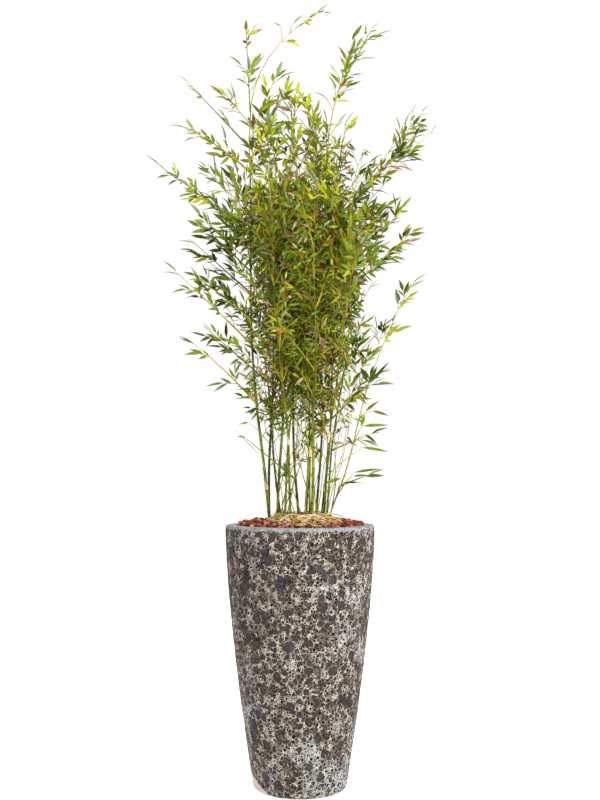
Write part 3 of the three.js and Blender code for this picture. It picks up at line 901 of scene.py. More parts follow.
def leaf_template() -> tuple[np.ndarray, list[tuple[int, ...]]]:
    """One flat leaf along X, a unit long, a unit wide and creased along its midrib.

    Returns:
        Its points, and its faces with their fronts towards +Z.
    """
    bm = bmesh.new()
    sections = ((0.10, 0.34), (0.32, 1.0), (0.64, 0.78))
    bmesh.ops.create_grid(bm, x_segments=len(sections) - 1, y_segments=2, size=1.0)
    bm.verts.ensure_lookup_table()
    columns = sorted({round(v.co.x, 4) for v in bm.verts})
    for vert in bm.verts:
        along, width = sections[columns.index(round(vert.co.x, 4))]
        vert.co = Vector((along, vert.co.y * width / 2, abs(vert.co.y) * width * 0.16))
    for end, near in ((0.0, sections[0][0]), (1.0, sections[-1][0])):
        edges = [e for e in bm.edges if all(abs(v.co.x - near) < 1e-5 for v in e.verts)]
        tip = bmesh.ops.extrude_edge_only(bm, edges=edges)["geom"]
        tip_verts = [v for v in tip if isinstance(v, bmesh.types.BMVert)]
        bmesh.ops.pointmerge(bm, verts=tip_verts, merge_co=Vector((end, 0, 0)))
    bmesh.ops.recalc_face_normals(bm, faces=bm.faces)
    bm.normal_update()
    if sum(f.normal.z for f in bm.faces) < 0:
        bmesh.ops.reverse_faces(bm, faces=bm.faces)
    bm.verts.index_update()
    points = np.array([v.co[:] for v in bm.verts])
    faces = [tuple(v.index for v in f.verts) for f in bm.faces]
    bm.free()
    return points, faces


# ---- the pot ---------------------------------------------------------------------------------------------


@dataclass
class GlazedPot:
    """The tall pot, turned as one shell and roughened by its crater glaze."""

    sizes: PotSizes = POT
    turns: int = 320
    row: float = 0.0026
    wall_rise: float = 0.0006
    crater_depth: float = 0.0016
    finish: CraterGlaze = field(default_factory=CraterGlaze)

    def build(self) -> bpy.types.Object:
        """Builds, roughens and dresses the pot.

        Returns:
            The pot's piece.
        """
        bm = bmesh.new()
        profile = [bm.verts.new((radius, 0, height)) for radius, height in self._profile()]
        edges = [bm.edges.new(pair) for pair in zip(profile, profile[1:])]
        bmesh.ops.spin(
            bm,
            geom=profile + edges,
            cent=(0, 0, 0),
            axis=(0, 0, 1),
            angle=2 * math.pi,
            steps=self.turns,
            use_merge=True,
        )
        piece = finished_piece("pot_glazed", mesh_from(bm, "pot_glazed"), [self.finish])
        self._roughen(piece)
        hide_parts("pot")
        return piece

    def _profile(self) -> list[tuple[float, float]]:
        """The section from the middle of the underside, over the rim, to the middle of the inner floor."""
        s = self.sizes
        foot = (s.outer(s.foot_round) - s.foot_round, s.foot_round)
        rim = (s.outer(s.height) - s.rim_round, s.height - s.rim_round)
        inner_top, inner_low = s.outer(s.height) - s.wall, s.outer(s.floor) - s.wall
        points = [(0.0, 0.0), (foot[0] * 0.5, 0.0)]
        points += self._arc(foot, s.foot_round, -90, 0, 7)
        rows = round((rim[1] - foot[1]) / self.row)
        levels = [foot[1] + (rim[1] - foot[1]) * i / rows for i in range(1, rows)]
        points += [(s.outer(level), level) for level in levels]
        points += self._arc(rim, s.rim_round, 0, 90, 5)
        across = rim[0] - inner_top - 0.006
        points += [(rim[0] - across * i / 5, s.height) for i in range(1, 6)]
        points += self._arc((inner_top + 0.005, s.height - 0.005), 0.005, 90, 180, 3)
        for t in (0.05, 1):
            points.append((inner_top + (inner_low - inner_top) * t, s.height + (s.floor - s.height) * t))
        return points + [(0.0, s.floor)]

    @staticmethod
    def _arc(
        centre: tuple[float, float], radius: float, start: float, end: float, steps: int
    ) -> list[tuple[float, float]]:
        """Points of a round corner between two angles in degrees."""
        angles = (math.radians(start + (end - start) * i / steps) for i in range(steps + 1))
        return [(centre[0] + radius * math.cos(a), centre[1] + radius * math.sin(a)) for a in angles]

    def _roughen(self, piece: bpy.types.Object) -> None:
        """Sinks the glaze's craters and raises the walls between them, and applies the result to the mesh.

        Args:
            piece: The pot's piece.
        """
        tree = bpy.data.node_groups.new("crater_relief", "GeometryNodeTree")
        tree.interface.new_socket("Geometry", in_out="INPUT", socket_type="NodeSocketGeometry")
        tree.interface.new_socket("Geometry", in_out="OUTPUT", socket_type="NodeSocketGeometry")
        nodes = Nodes(tree)
        masks = crater_pattern(nodes, nodes.add("GeometryNodeInputPosition").outputs[0])
        wall = nodes.remap(masks["Gap"], -0.0024, 0.0006, -self.crater_depth, self.wall_rise)
        lump = nodes.math("MULTIPLY", nodes.math("SUBTRACT", masks["Tone"], 0.5), 0.003)
        height = nodes.math("MULTIPLY", wall, nodes.math("SUBTRACT", 1.0, masks["Slate"]))
        height = nodes.math("ADD", height, lump)
        height = nodes.math("MULTIPLY", height, nodes.math("SUBTRACT", 1.0, masks["Rim"]))
        level = nodes.split(nodes.add("GeometryNodeInputPosition").outputs[0])[2]
        height = nodes.math("MULTIPLY", height, nodes.remap(level, 0.001, 0.008))
        move = nodes.add("GeometryNodeSetPosition")
        normal = nodes.add("GeometryNodeInputNormal").outputs[0]
        nodes.feed(move.inputs["Offset"], nodes.vector("SCALE", normal, height))
        nodes.feed(move.inputs["Geometry"], nodes.add("NodeGroupInput").outputs[0])
        nodes.feed(nodes.add("NodeGroupOutput").inputs[0], move.outputs["Geometry"])
        piece.modifiers.new("relief", "NODES").node_group = tree
        shaped = bpy.data.meshes.new_from_object(piece.evaluated_get(bpy.context.evaluated_depsgraph_get()))
        piece.modifiers.clear()
        piece.data = shaped


# ---- what lies on top of the pot -------------------------------------------------------------------------


@dataclass
class PotDressing:
    """The lava rock round the root ball, and the straw and dry leaves matted on top of it."""

    stones: int = 1300
    stone_size: tuple[float, float] = (0.0034, 0.0078)
    stone_ring: float = 0.078
    mat_middle: tuple[float, float] = (0.006, -0.036)
    mat_radii: tuple[float, float] = (0.070, 0.106)
    straws: int = 760
    dry_leaves: int = 170
    seed: int = 7

    def build(self) -> None:
        """Builds each kind of litter as one joined piece, and dresses the solids underneath."""
        # The lava rock's solid, seen in the gaps between the stones, takes the dark lava tone, which is partly
        # painted shade in those gaps.
        for node, finish in (("lava_rock", Litter.DARK_LAVA_AND_SHADE), ("root_ball", Litter.SOIL)):
            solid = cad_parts[node]
            for held in solid.material_slots:
                held.material = finish.value.material()
        self._stones()
        self._straw()
        self._dry_leaves()
        self._fallen_stems()

    def _stones(self) -> None:
        """Heaps rough pebbles of lava over the ring between the root ball and the pot's wall."""
        rng = np.random.default_rng(self.seed)
        shapes = [self._stone_shape(rng) for _ in range(6)]
        swarm = Swarm()
        inner, outer = self.stone_ring, POT.outer(POT.height) - POT.wall - 0.004
        for points, faces in shapes:
            count = self.stones // len(shapes)
            radius = np.sqrt(rng.uniform(inner**2, outer**2, count))
            angle = rng.uniform(0, 2 * math.pi, count)
            size = rng.uniform(*self.stone_size, count)
            share = (outer - radius) / (outer - inner)
            heap = POT.height - 0.001 + 0.008 * np.clip(share * 2.2, 0, 1)
            level = heap + rng.uniform(-0.008, 0.0045, count)
            middle = np.stack([radius * np.cos(angle), radius * np.sin(angle), level], axis=1)
            angles = rng.uniform(0, 6.3, (count, 2))
            turns = [np.array(Matrix.Rotation(a, 3, "Z") @ Matrix.Rotation(b, 3, "X")) for a, b in angles]
            turned = np.einsum("nij,pj->npi", np.array(turns), points)
            slots = rng.choice(3, count, p=[0.5, 0.3, 0.2])
            swarm.add(middle[:, None, :] + turned * size[:, None, None], faces, slots)
        # The dark and pale slots are partly painted shade and painted highlight on the stones.
        finishes = [Litter.LAVA.value, Litter.DARK_LAVA_AND_SHADE.value, Litter.PALE_LAVA_AND_HIGHLIGHT.value]
        finished_piece("lava_stones", swarm.mesh("lava_stones", smooth=False), finishes)

    @staticmethod
    def _stone_shape(rng: np.random.Generator) -> tuple[np.ndarray, list[tuple[int, ...]]]:
        """One rough pebble of unit size, as points and faces."""
        bm = bmesh.new()
        bmesh.ops.create_icosphere(bm, subdivisions=2, radius=1.0)
        for vert in bm.verts:
            vert.co *= 1 + rng.uniform(-0.34, 0.22)
        bmesh.ops.scale(bm, vec=(1.0, rng.uniform(0.7, 0.95), rng.uniform(0.55, 0.85)), verts=bm.verts)
        points = np.array([v.co[:] for v in bm.verts])
        faces = [tuple(v.index for v in f.verts) for f in bm.faces]
        bm.free()
        return points, faces

    def _mat_height(self, x: np.ndarray, y: np.ndarray) -> np.ndarray:
        """How high the straw lies at a place, falling away to the front over the lava rock."""
        front = np.clip((-y - 0.075) / 0.07, 0, 1)
        away = np.hypot(x - self.mat_middle[0], 0.8 * (y - self.mat_middle[1])) / self.mat_radii[0]
        return GROUND + 0.003 - 0.0095 * front - 0.003 * np.clip((away - 0.8) / 0.4, 0, 1)

    def _mat_place(self, rng: np.random.Generator) -> np.ndarray:
        """A place somewhere on the mat, at ground level 0."""
        radius, angle = math.sqrt(rng.uniform(0, 1)), rng.uniform(0, 2 * math.pi)
        x = self.mat_middle[0] + self.mat_radii[0] * radius * math.cos(angle)
        return np.array([x, self.mat_middle[1] + self.mat_radii[1] * radius * math.sin(angle), 0.0])

    def _straw(self) -> None:
        """Mats thin bent fibres over the root ball."""
        rng = np.random.default_rng(self.seed + 1)
        swarm = Swarm()
        rings = 7
        for _ in range(self.straws):
            middle = self._mat_place(rng)
            heading = rng.uniform(0, 2 * math.pi)
            length = rng.uniform(0.02, 0.085)
            bend = rng.uniform(-0.4, 0.4) * length
            t = np.linspace(-0.5, 0.5, rings)
            along = np.array([math.cos(heading), math.sin(heading), 0.0])
            across = np.array([-along[1], along[0], 0.0])
            line = middle + np.outer(t * length, along) + np.outer((4 * t * t - 0.5) * bend, across)
            arch = rng.uniform(0, 0.015) * (1 - 4 * t * t) * (rng.uniform() < 0.4)
            lift = rng.uniform(-0.001, 0.005) + rng.uniform(-0.16, 0.16) * t * length + arch
            line[:, 2] = self._mat_height(line[:, 0], line[:, 1]) + lift
            radii = np.full(rings, rng.uniform(0.0005, 0.0018)) * np.array([0.5, 0.9, 1, 1, 1, 0.9, 0.5])
            swarm.add_tube(line, radii, 4, rng.choice(4, p=[0.30, 0.38, 0.16, 0.16]))
        finishes = [f.value for f in (Litter.STRAW, Litter.PALE_STRAW, Litter.BROWN_STRAW, Litter.GREEN_STRAW)]
        finished_piece("straw_mat", swarm.mesh("straw_mat", smooth=True), finishes)

    def _dry_leaves(self) -> None:
        """Scatters fallen leaves over the straw."""
        rng = np.random.default_rng(self.seed + 2)
        leaves = LeafSwarm()
        for _ in range(self.dry_leaves):
            root, heading = self._mat_place(rng), rng.uniform(0, 2 * math.pi)
            root[2] = float(self._mat_height(root[0], root[1])) + rng.uniform(0.001, 0.008)
            aim = unit(np.array([math.cos(heading), math.sin(heading), rng.uniform(-0.25, 0.25)]))
            face = unit(UP + rng.uniform(-0.5, 0.5, 3))
            length = rng.uniform(0.022, 0.05)
            inwards = root - aim * length * 0.5
            leaves.add(inwards, aim, face, length, length * 0.2, rng.uniform(-0.3, 0.3), rng.choice(3))
        finishes = [Leaf.DRY.value, Litter.BROWN_STRAW.value, Litter.PALE_STRAW.value]
        finished_piece("dry_litter", leaves.mesh("dry_litter"), finishes)

    def _fallen_stems(self) -> None:
        """Lays thin yellow-green stems across the front of the root ball."""
        rng = np.random.default_rng(self.seed + 3)
        swarm = Swarm()
        rings = 12
        rows = (
            ((-0.070, -0.060), (0.000, -0.100), -0.012, 0.0017, 0),
            ((-0.004, -0.096), (0.040, -0.104), 0.006, 0.0016, 0),
            ((0.086, -0.050), (0.010, -0.118), 0.006, 0.0018, 0),
            ((0.000, -0.122), (0.066, -0.098), -0.008, 0.0022, 1),
            ((-0.052, -0.122), (-0.036, -0.070), 0.006, 0.0014, 1),
        )
        for start, end, sag, radius, slot in rows:
            t = np.linspace(0, 1, rings)
            line = np.outer(1 - t, (*start, 0.0)) + np.outer(t, (*end, 0.0))
            line[:, 1] -= sag * np.sin(t * math.pi)
            ripple = 0.002 * np.sin(t * 9 + rng.uniform(0, 6))
            line[:, 2] = self._mat_height(line[:, 0], line[:, 1]) + 0.007 + ripple
            swarm.add_tube(line, np.full(rings, radius) * (1.1 - 0.3 * t), 6, slot)
        finishes = [Litter.GREEN_STRAW.value, Litter.PALE_STRAW.value]
        finished_piece("fallen_stems", swarm.mesh("fallen_stems", smooth=True), finishes)


# ---- the canes -------------------------------------------------------------------------------------------


@dataclass
class Canes:
    """The clump's canes and thin shoots, each with its swollen nodes, and the dry sheaths on some of them."""

    sides: int = 12
    shoot_sides: int = 6
    first_gap: float = 0.034
    longest_gap: float = 0.112
    swelling: float = 1.2
    golden_from: float = 0.70
    sheath_every: int = 11
    shoots: int = 8

    def build(self) -> None:
        """Builds one piece for each cane, one for all the shoots and one for all the sheaths."""
        sheaths = bmesh.new()
        skins = (Bark.YOUNG_CANE, Bark.CANE, Bark.OLD_CANE, Bark.CANE, Bark.CANE)
        for index, (name, cane) in enumerate(CANES.items()):
            bm = bmesh.new()
            self._stalk(bm, cane, self.nodes(cane, index), self.sides)
            self._sheaths(sheaths, cane, index)
            skin = Bark.YOUNG_CANE if cane.radius < 3 else skins[(index + 1) % len(skins)]
            finishes = [skin.value, Bark.NODE.value, Bark.YOUNG_CANE.value]
            piece = finished_piece(f"{name}_cane", mesh_from(bm, name), finishes)
            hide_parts(f"cane_{name}")
        finished_piece("sheaths", mesh_from(sheaths, "sheaths"), [Bark.SHEATH.value])
        bm = bmesh.new()
        for index, shoot in enumerate(self.shoot_rows()):
            self._stalk(bm, shoot, self.nodes(shoot, 40 + index), self.shoot_sides)
        finishes = [Bark.YOUNG_CANE.value, Bark.NODE.value, Bark.GREEN_TWIG.value]
        finished_piece("shoots", mesh_from(bm, "shoots"), finishes)

    def shoot_rows(self) -> list[Cane]:
        """The thin young shoots that come up between the canes and lean across them."""
        rows = []
        for index in range(self.shoots):
            draw = random_source(900 + index)
            turn = math.radians(index * GOLDEN_ANGLE + 40 * draw())
            out = ROOT_BALL_RADIUS / MM * (0.25 + 0.6 * draw())
            foot = (out * math.cos(turn), out * math.sin(turn) * 0.9)
            away = turn + math.radians(120 * (draw() - 0.5)) + (math.pi if index % 3 == 1 else 0)
            height = 250 + 330 * draw()
            lean = height * (0.12 + 0.28 * draw())
            radius = 1.4 + 1.2 * draw()
            bow = (18 * (draw() - 0.5), 18 * (draw() - 0.5))
            towards = (lean * math.cos(away), lean * math.sin(away))
            rows.append(Cane(foot, towards, (0, 0), height, radius, bow, 1.0))
        return rows + [
            Cane((66, -40), (118, -8), (0, 0), 420, 1.9, (-10, 0), 1.0),
            Cane((60, -46), (72, -30), (0, 0), 380, 1.7, (8, 0), 1.0),
            Cane((74, -20), (30, 30), (0, 0), 460, 2.2, (6, 0), 1.0),
            Cane((-66, -46), (88, 10), (0, 0), 330, 2.0, (0, 6), 1.0),
            Cane((8, -62), (-96, 14), (0, 0), 300, 1.8, (6, 0), 1.0),
            Cane((14, -40), (-10, -20), (0, 0), 480, 3.3, (5, 0), 1.0),
            Cane((42, -60), (-62, 10), (0, 0), 430, 2.7, (0, 4), 1.0),
            Cane((-32, -50), (60, 8), (0, 0), 400, 2.9, (-4, 0), 1.0),
        ]

    def nodes(self, cane: Cane, index: int) -> list[float]:
        """The shares of a cane's height where its nodes are, closer together near the ground.

        Args:
            cane: The cane's sizes.
            index: The cane's place in the clump, which shifts its nodes from the others'.

        Returns:
            The shares, from the lowest node up to the cane's leafy tip.
        """
        draw = random_source(300 + index)
        gap = self.first_gap * (0.7 + 0.8 * draw())
        level = gap * 0.5
        growth, longest = 1.12 + 0.12 * draw(), self.longest_gap * (0.62 + 0.38 * draw())
        heights = []
        while level < cane.height * MM * cane.tip - 0.01:
            heights.append(level / (cane.height * MM))
            gap = min(longest, gap * growth)
            level += gap * (0.9 + 0.2 * draw())
        return heights

    def _stalk(self, bm: bmesh.types.BMesh, cane: Cane, nodes: Iterable[float], sides: int) -> None:
        """Adds one stalk, ring by ring, by extruding its foot's circle along its line.

        Args:
            bm: The bmesh to add to.
            cane: The stalk's sizes.
            nodes: The shares of its height where its nodes are.
            sides: How many sides it has.
        """
        made = bmesh.ops.create_circle(bm, cap_ends=True, segments=sides, radius=1.0)["verts"]
        edges = list({edge for vert in made for edge in vert.link_edges})
        placed = Matrix.Identity(4)
        for number, (share, swell, dark) in enumerate(self._rings(cane, nodes)):
            if number:
                grown = bmesh.ops.extrude_edge_only(bm, edges=edges)["geom"]
                made = [part for part in grown if isinstance(part, bmesh.types.BMVert)]
                fresh = set(made)
                edges = [e for e in grown if isinstance(e, bmesh.types.BMEdge) and fresh.issuperset(e.verts)]
                upper = 2 if share > self.golden_from else 0
                for face in {face for vert in made for face in vert.link_faces}:
                    face.material_index = 1 if dark else upper
            target = self._frame(cane, share, swell)
            bmesh.ops.transform(bm, matrix=target @ placed.inverted(), verts=made)
            placed = target
        bmesh.ops.edgeloop_fill(bm, edges=edges)

    def _rings(self, cane: Cane, nodes: Iterable[float]) -> list[tuple[float, float, bool]]:
        """Each ring's share of the height, its swelling, and whether the band below it is dark."""
        one = 1.0 / cane.height
        rings = [(0.0, 1.0, False)]
        for share in nodes:
            rings += [
                (share - 4.0 * one, 1.0, False),
                (share - 1.2 * one, self.swelling * 0.96, False),
                (share - 0.2 * one, self.swelling * 0.90, True),
                (share + 0.6 * one, self.swelling, True),
                (share + 1.6 * one, 1.03, False),
                (share + 5.0 * one, 0.97, False),
            ]
        return rings + [(cane.tip, 1.0, False)]

    @staticmethod
    def _frame(cane: Cane, share: float, swell: float) -> Matrix:
        """The place, turn and size of a stalk's ring, as a matrix for a unit circle."""
        along = unit(cane.point(share + 0.002) - cane.point(share - 0.002)) if share > 0 else UP
        side = unit(np.cross([0.0, 1.0, 0.0], along))
        other = np.cross(along, side)
        radius = cane.drawn_radius(share) * swell
        columns = np.eye(4)
        columns[:3, 0], columns[:3, 1], columns[:3, 2] = side * radius, other * radius, along * radius
        columns[:3, 3] = cane.point(share)
        return Matrix(columns.tolist())

    def _sheaths(self, bm: bmesh.types.BMesh, cane: Cane, index: int) -> None:
        """Adds the papery sheaths that wrap a cane above some of its nodes.

        Args:
            bm: The bmesh that holds all the sheaths.
            cane: The cane's sizes.
            index: The cane's place in the clump, which picks the nodes.
        """
        for number, share in enumerate(self.nodes(cane, index)[1:9]):
            if (number + index * 4) % self.sheath_every:
                continue
            draw = random_source(index * 40 + number)
            length = 0.022 + 0.03 * draw()
            here, depth = self._frame(cane, share, 1.12), length / (cane.drawn_radius(share) * 1.12)
            verts = bmesh.ops.create_cone(
                bm, cap_ends=False, segments=10, radius1=0.95, radius2=1.3, depth=depth
            )["verts"]
            bmesh.ops.translate(bm, vec=(0, 0, depth / 2), verts=verts)
            slit = 6.28 * draw()
            for vert in verts:
                if vert.co.z > depth / 2:
                    vert.co.z -= depth * (0.35 + 0.35 * math.cos(math.atan2(vert.co.y, vert.co.x) + slit))
            bmesh.ops.transform(bm, matrix=here, verts=verts)


# ---- leaves and twigs ------------------------------------------------------------------------------------


class LeafSwarm:
    """Leaves gathered one by one and joined into one mesh."""

    points, faces = leaf_template()

    def __init__(self) -> None:
        """Starts with no leaves."""
        self.rows: list[np.ndarray] = []
        self.slots: list[tuple[int, int]] = []

    def add(
        self,
        root: np.ndarray,
        aim: np.ndarray,
        facing: np.ndarray,
        length: float,
        width: float,
        droop: float,
        slot: int,
        tip_slot: int | None = None,
    ) -> None:
        """Adds one leaf.

        Args:
            root: Where its stalk is.
            aim: The unit direction that it grows in.
            facing: The way that its upper face looks, roughly.
            length: From root to tip, in metres.
            width: At its widest, in metres.
            droop: How far its tip bends away from its upper face, as a share of its length.
            slot: Its material index.
            tip_slot: The material index of its tip, where that has withered.
        """
        across = unit(np.cross(facing, aim))
        over = np.cross(aim, across)
        x, y, z = self.points.T
        points = (
            root
            + np.outer(x * length, aim)
            + np.outer(y * width, across)
            + np.outer(z * width - droop * length * x * x, over)
        )
        self.rows.append(points)
        self.slots.append((slot, slot if tip_slot is None else tip_slot))

    def mesh(self, name: str) -> bpy.types.Mesh:
        """All the leaves, as one mesh."""
        swarm = Swarm()
        at_tip = [int(np.mean(self.points[list(face), 0]) > 0.7) for face in self.faces]
        swarm.add(np.array(self.rows), self.faces, np.array(self.slots)[:, at_tip])
        return swarm.mesh(name, smooth=False)


@dataclass(frozen=True)
class Dealing:
    """How often each leaf tone is dealt in one part of the crown."""

    fresh: float
    lime_and_backlight: float
    deep_and_shade: float
    bluish_sheen: float
    dry: float
    russet: float
    withered: float = 0.08

    def pick(self, share: float) -> int:
        """The material index that a number from 0 to 1 falls on."""
        total = 0.0
        weights = (self.fresh, self.lime_and_backlight, self.deep_and_shade, self.bluish_sheen, self.dry, self.russet)
        for index, weight in enumerate(weights):
            total += weight / sum(weights)
            if share < total:
                return index
        return 0


class Part(Enum):
    """The parts of the crown, each with its own dealing of tones, so that the tones also paint light and shade:
    more lime at the top for a painted backlight, more deep green low down for painted shade.
    """

    # TOP_BACKLIT: lime is dealt to about two leaves in five, a painted backlight for the bright leaves at the
    # crown's top.
    TOP_BACKLIT = Dealing(0.42, 0.40, 0.03, 0.10, 0.02, 0.03, withered=0.18)
    SIDES = Dealing(0.42, 0.09, 0.34, 0.10, 0.02, 0.03, withered=0.10)
    HEART = Dealing(0.43, 0.11, 0.26, 0.09, 0.08, 0.04)
    # LOW_SHADED: deep green is dealt to most leaves, painted shade in the lower heart of the crown.
    LOW_SHADED = Dealing(0.36, 0.06, 0.42, 0.04, 0.08, 0.04)

    @staticmethod
    def at(place: np.ndarray, shift: float) -> "Part":
        """The part of the crown that a place lies in, where shift, -0.5 to 0.5, blurs the parts' borders."""
        if place[2] + 0.28 * shift > (1.50 if place[0] < 0.10 else 1.70):
            return Part.TOP_BACKLIT
        if math.hypot(place[0], 0.6 * place[1]) + 0.05 * shift > 0.15:
            return Part.SIDES
        return Part.LOW_SHADED if place[2] + 0.20 * shift < 1.08 else Part.HEART


INNER_SPRAYS = 9

# The share of its twigs that a tip or a side spray grows, where that isn't the usual share.
FULLNESS = {
    "tip_tall_left": 0.22,
    "tip_tall_right": 0.62,
    "spray_left_crest": 0.28,
    "spray_left_high": 0.5,
    "spray_left_long": 0.45,
    "spray_left_thin": 0.4,
    "spray_left_reaching": 0.45,
    "spray_left_middle": 0.45,
    "spray_left_low": 0.3,
    "spray_left_drooping": 0.2,
    "spray_right_crest": 0.8,
    "spray_right_middle": 0.12,
    "spray_right_long": 0.5,
    "spray_left_lowest": 0.0,
    "spray_right_low": 0.55,
    "spray_right_lower": 0.3,
    "spray_right_lowest": 0.2,
}


@dataclass
class Foliage:
    """All the twigs and leaves: the part's sprays and tips, and the branches at the canes' upper nodes."""

    canes: Canes
    usual_fullness: float = 0.62
    twig_gap: float = 0.0155
    twig_angle: float = 30.0
    twig_reach: float = 0.62
    leaf_length: float = 0.043
    heart_leaf: float = 0.034
    leaf_width: float = 0.0102
    leaf_fan: float = 17.0
    stem_radius: float = 0.0016
    bough_radius: float = 0.0026
    shoulder_radius: float = 0.0014
    shoulder_fullness: float = 0.44
    far_reach: float = 340.0
    far_bare: float = 0.62
    twig_radius: float = 0.0009
    spray_spread: float = 46.0
    branch_heights: tuple[float, ...] = (0.05, 0.14, 0.24, 0.33, 0.60, 0.72, 0.84, 0.95, 1.2)
    branch_shares: tuple[float, ...] = (0.0, 0.04, 0.34, 0.86, 1.0, 0.56, 0.27, 0.08, 0.0)
    branches_per_node: int = 8
    heart_heights: tuple[float, ...] = (0.10, 0.30, 0.50, 0.62, 0.74, 0.90, 1.05)
    heart_radii: tuple[float, ...] = (0.074, 0.074, 0.096, 0.128, 0.142, 0.126, 0.116)
    strays: float = 0.10
    wisp_floor: float = 0.60
    wisp_ceiling: float = 1.14
    wisp_share: float = 0.76
    wisp_spread: float = 0.030
    shoot_branch_share: float = 0.6
    shoot_left_edge: float = -0.06
    slender_blade: float = 3.0

    def build(self) -> None:
        """Grows each part of the crown as one piece of twigs and one of leaves."""
        sprays = [self._side_stem(name, row, 16 + i) for i, (name, row) in enumerate(SPRAYS.items())]
        tips = [self._tip_stem(name, cane, 1 + i) for i, (name, cane) in enumerate(CANES.items())]
        inner = [self._inner_stem(k) for k in range(INNER_SPRAYS)]
        shoulders = [self._shoulder(row, 70 + i) for i, row in enumerate(SHOULDERS)]
        tip_nodes = [f"tip_{name}" for name in CANES]
        inner_nodes = [f"spray_inner_{k + 1}" for k in range(INNER_SPRAYS)]
        self._grow("sides", [*sprays, *shoulders], [f"spray_{name}" for name in SPRAYS])
        self._grow("tops", tips, tip_nodes)
        self._grow("inner", inner, inner_nodes)
        rows = list(CANES.values())
        wisps = [stem for index, cane in enumerate(rows) for stem in self._wisps(cane, index)]
        self._grow("wisps", wisps, tip_nodes)
        for name, first, last in (("left", 0, 5), ("middle", 5, 10), ("right", 10, 15)):
            stems = [stem for index in range(first, last) for stem in self._branches(rows[index], index)]
            self._grow(f"heart_{name}", stems, inner_nodes)
        shoots = enumerate(self.canes.shoot_rows())
        self._grow("shoots", [stem for i, row in shoots for stem in self._shoot_branches(row, i)], inner_nodes)
        self._single_leaves(["spray_right_low", "spray_right_lower", "spray_right_lowest", "tip_tall_left"])

    def _single_leaves(self, nodes: list[str]) -> None:
        """Adds the leaves that stand alone, low on the clump and along the tallest arch."""
        twigs, leaves = Swarm(), LeafSwarm()
        for index, row in enumerate(BLADES):
            cane = CANES[row.cane]
            start, root, tip = cane.point(row.at / cane.height), np.array(row.root) * MM, np.array(row.tip) * MM
            root, tip = root + UP * GROUND, tip + UP * GROUND
            middle = (start + root) / 2 + UP * 0.004
            radii = np.array([1.3, 1.0, 0.7]) * self.twig_radius
            twigs.add_tube(np.array([start, middle, root]), radii, 4, 0)
            facing = np.array([0.1, -0.8, 0.6 - 0.1 * (index % 3)])
            length = float(np.linalg.norm(tip - root))
            broad_tone = TONE[Leaf.DEEP_AND_SHADE] if index % 4 == 3 else TONE[Leaf.FRESH]
            tone = TONE[Leaf.LIME_AND_BACKLIGHT] if row.width < self.slender_blade else broad_tone
            tip_tone = TONE[Leaf.DRY] if row.withered else None
            leaves.add(root, unit(tip - root), facing, length, row.width * MM, 0.06, tone, tip_tone)
        self._pieces("single", twigs, leaves, nodes)

    def _side_stem(self, name: str, row: Spray, seed: int) -> Stem:
        """The stem of a side spray, by the same rule as the part's own."""
        fullness = FULLNESS.get(f"spray_{name}", self.usual_fullness)
        stem = self._stem_from(CANES[row.cane], row, self.bough_radius, seed, fullness)
        return replace(stem, blade=1.25 if "right_low" in name else 1.0, leaves=3)

    def _shoulder(self, row: Spray, seed: int) -> Stem:
        """The stem of a finer branch between the sprays; a far-reaching one bears its leaves near its end."""
        stem = self._stem_from(CANES[row.cane], row, self.shoulder_radius, seed, self.shoulder_fullness)
        return replace(stem, bare=self.far_bare) if row.reach > self.far_reach else stem

    def _tip_stem(self, name: str, cane: Cane, seed: int) -> Stem:
        """The stem of a leafy tip, which goes on along its cane's own line."""
        end = 1 - 0.5 * self.leaf_length / MM / cane.height

        def path(share: float) -> np.ndarray:
            """The stem's middle line."""
            return cane.point(cane.tip + (end - cane.tip) * share)

        length = float(np.linalg.norm(path(1) - path(0)))
        fullness = FULLNESS.get(f"tip_{name}", self.usual_fullness)
        radius = cane.drawn_radius(cane.tip)
        return Stem(path, length, cane.spread * MM, radius, seed, fullness)

    def _inner_stem(self, k: int) -> Stem:
        """The stem of one of the part's inner sprays, turned the way that its solid lies."""
        bearers = [cane for cane in CANES.values() if cane.height > 900]
        cane = bearers[(k * 5) % len(bearers)]
        at = 250 + 350 * k / (INNER_SPRAYS - 1)
        low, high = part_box(f"spray_inner_{k + 1}")
        across = (np.array(low) + np.array(high)) / 2 - cane.point(at / cane.height)
        row = Spray("", at, math.degrees(math.atan2(across[1], across[0])), 50, 220, 4)
        return self._stem_from(cane, row, self.stem_radius, 33 + k, 1.0)

    def _branches(self, cane: Cane, index: int) -> list[Stem]:
        """The finer branches that leave one cane's nodes and fill the heart of the crown."""
        stems = []
        for number, share in enumerate(self.canes.nodes(cane, index)):
            height = share * cane.height * MM
            thick = float(np.interp(height, self.branch_heights, self.branch_shares))
            draw = random_source(index * 1000 + number)
            for k in range(self.branches_per_node):
                towards = number * 180 + index * 67 + k * GOLDEN_ANGLE + 50 * (draw() - 0.5)
                rise, reach = 50 + 22 * draw(), (0.085 + 0.105 * thick) * (0.75 + 0.5 * draw()) / MM
                row = Spray("", share * cane.height, towards, rise, reach, 10 * draw())
                seed = 5000 + index * 150 + number * 8 + k
                stem = self._stem_from(cane, row, self.stem_radius * 0.75, seed, 0.4 + 0.6 * thick)
                kept, stray = draw() < thick, draw() < self.strays
                if kept and (stray or self._in_heart(stem.path(1.0), 0.06 * (draw() - 0.5))):
                    stems.append(stem)
        return stems

    def _in_heart(self, place: np.ndarray, slack: float) -> bool:
        """Whether a place lies in the dense heart of the crown, which is narrow below and wider above."""
        height = place[2] - GROUND
        radius = float(np.interp(height, self.heart_heights, self.heart_radii))
        middle = float(np.interp(height, (0.45, 0.65), (-0.004, 0.020)))
        return math.hypot(place[0] - middle, 0.8 * place[1]) < radius + slack

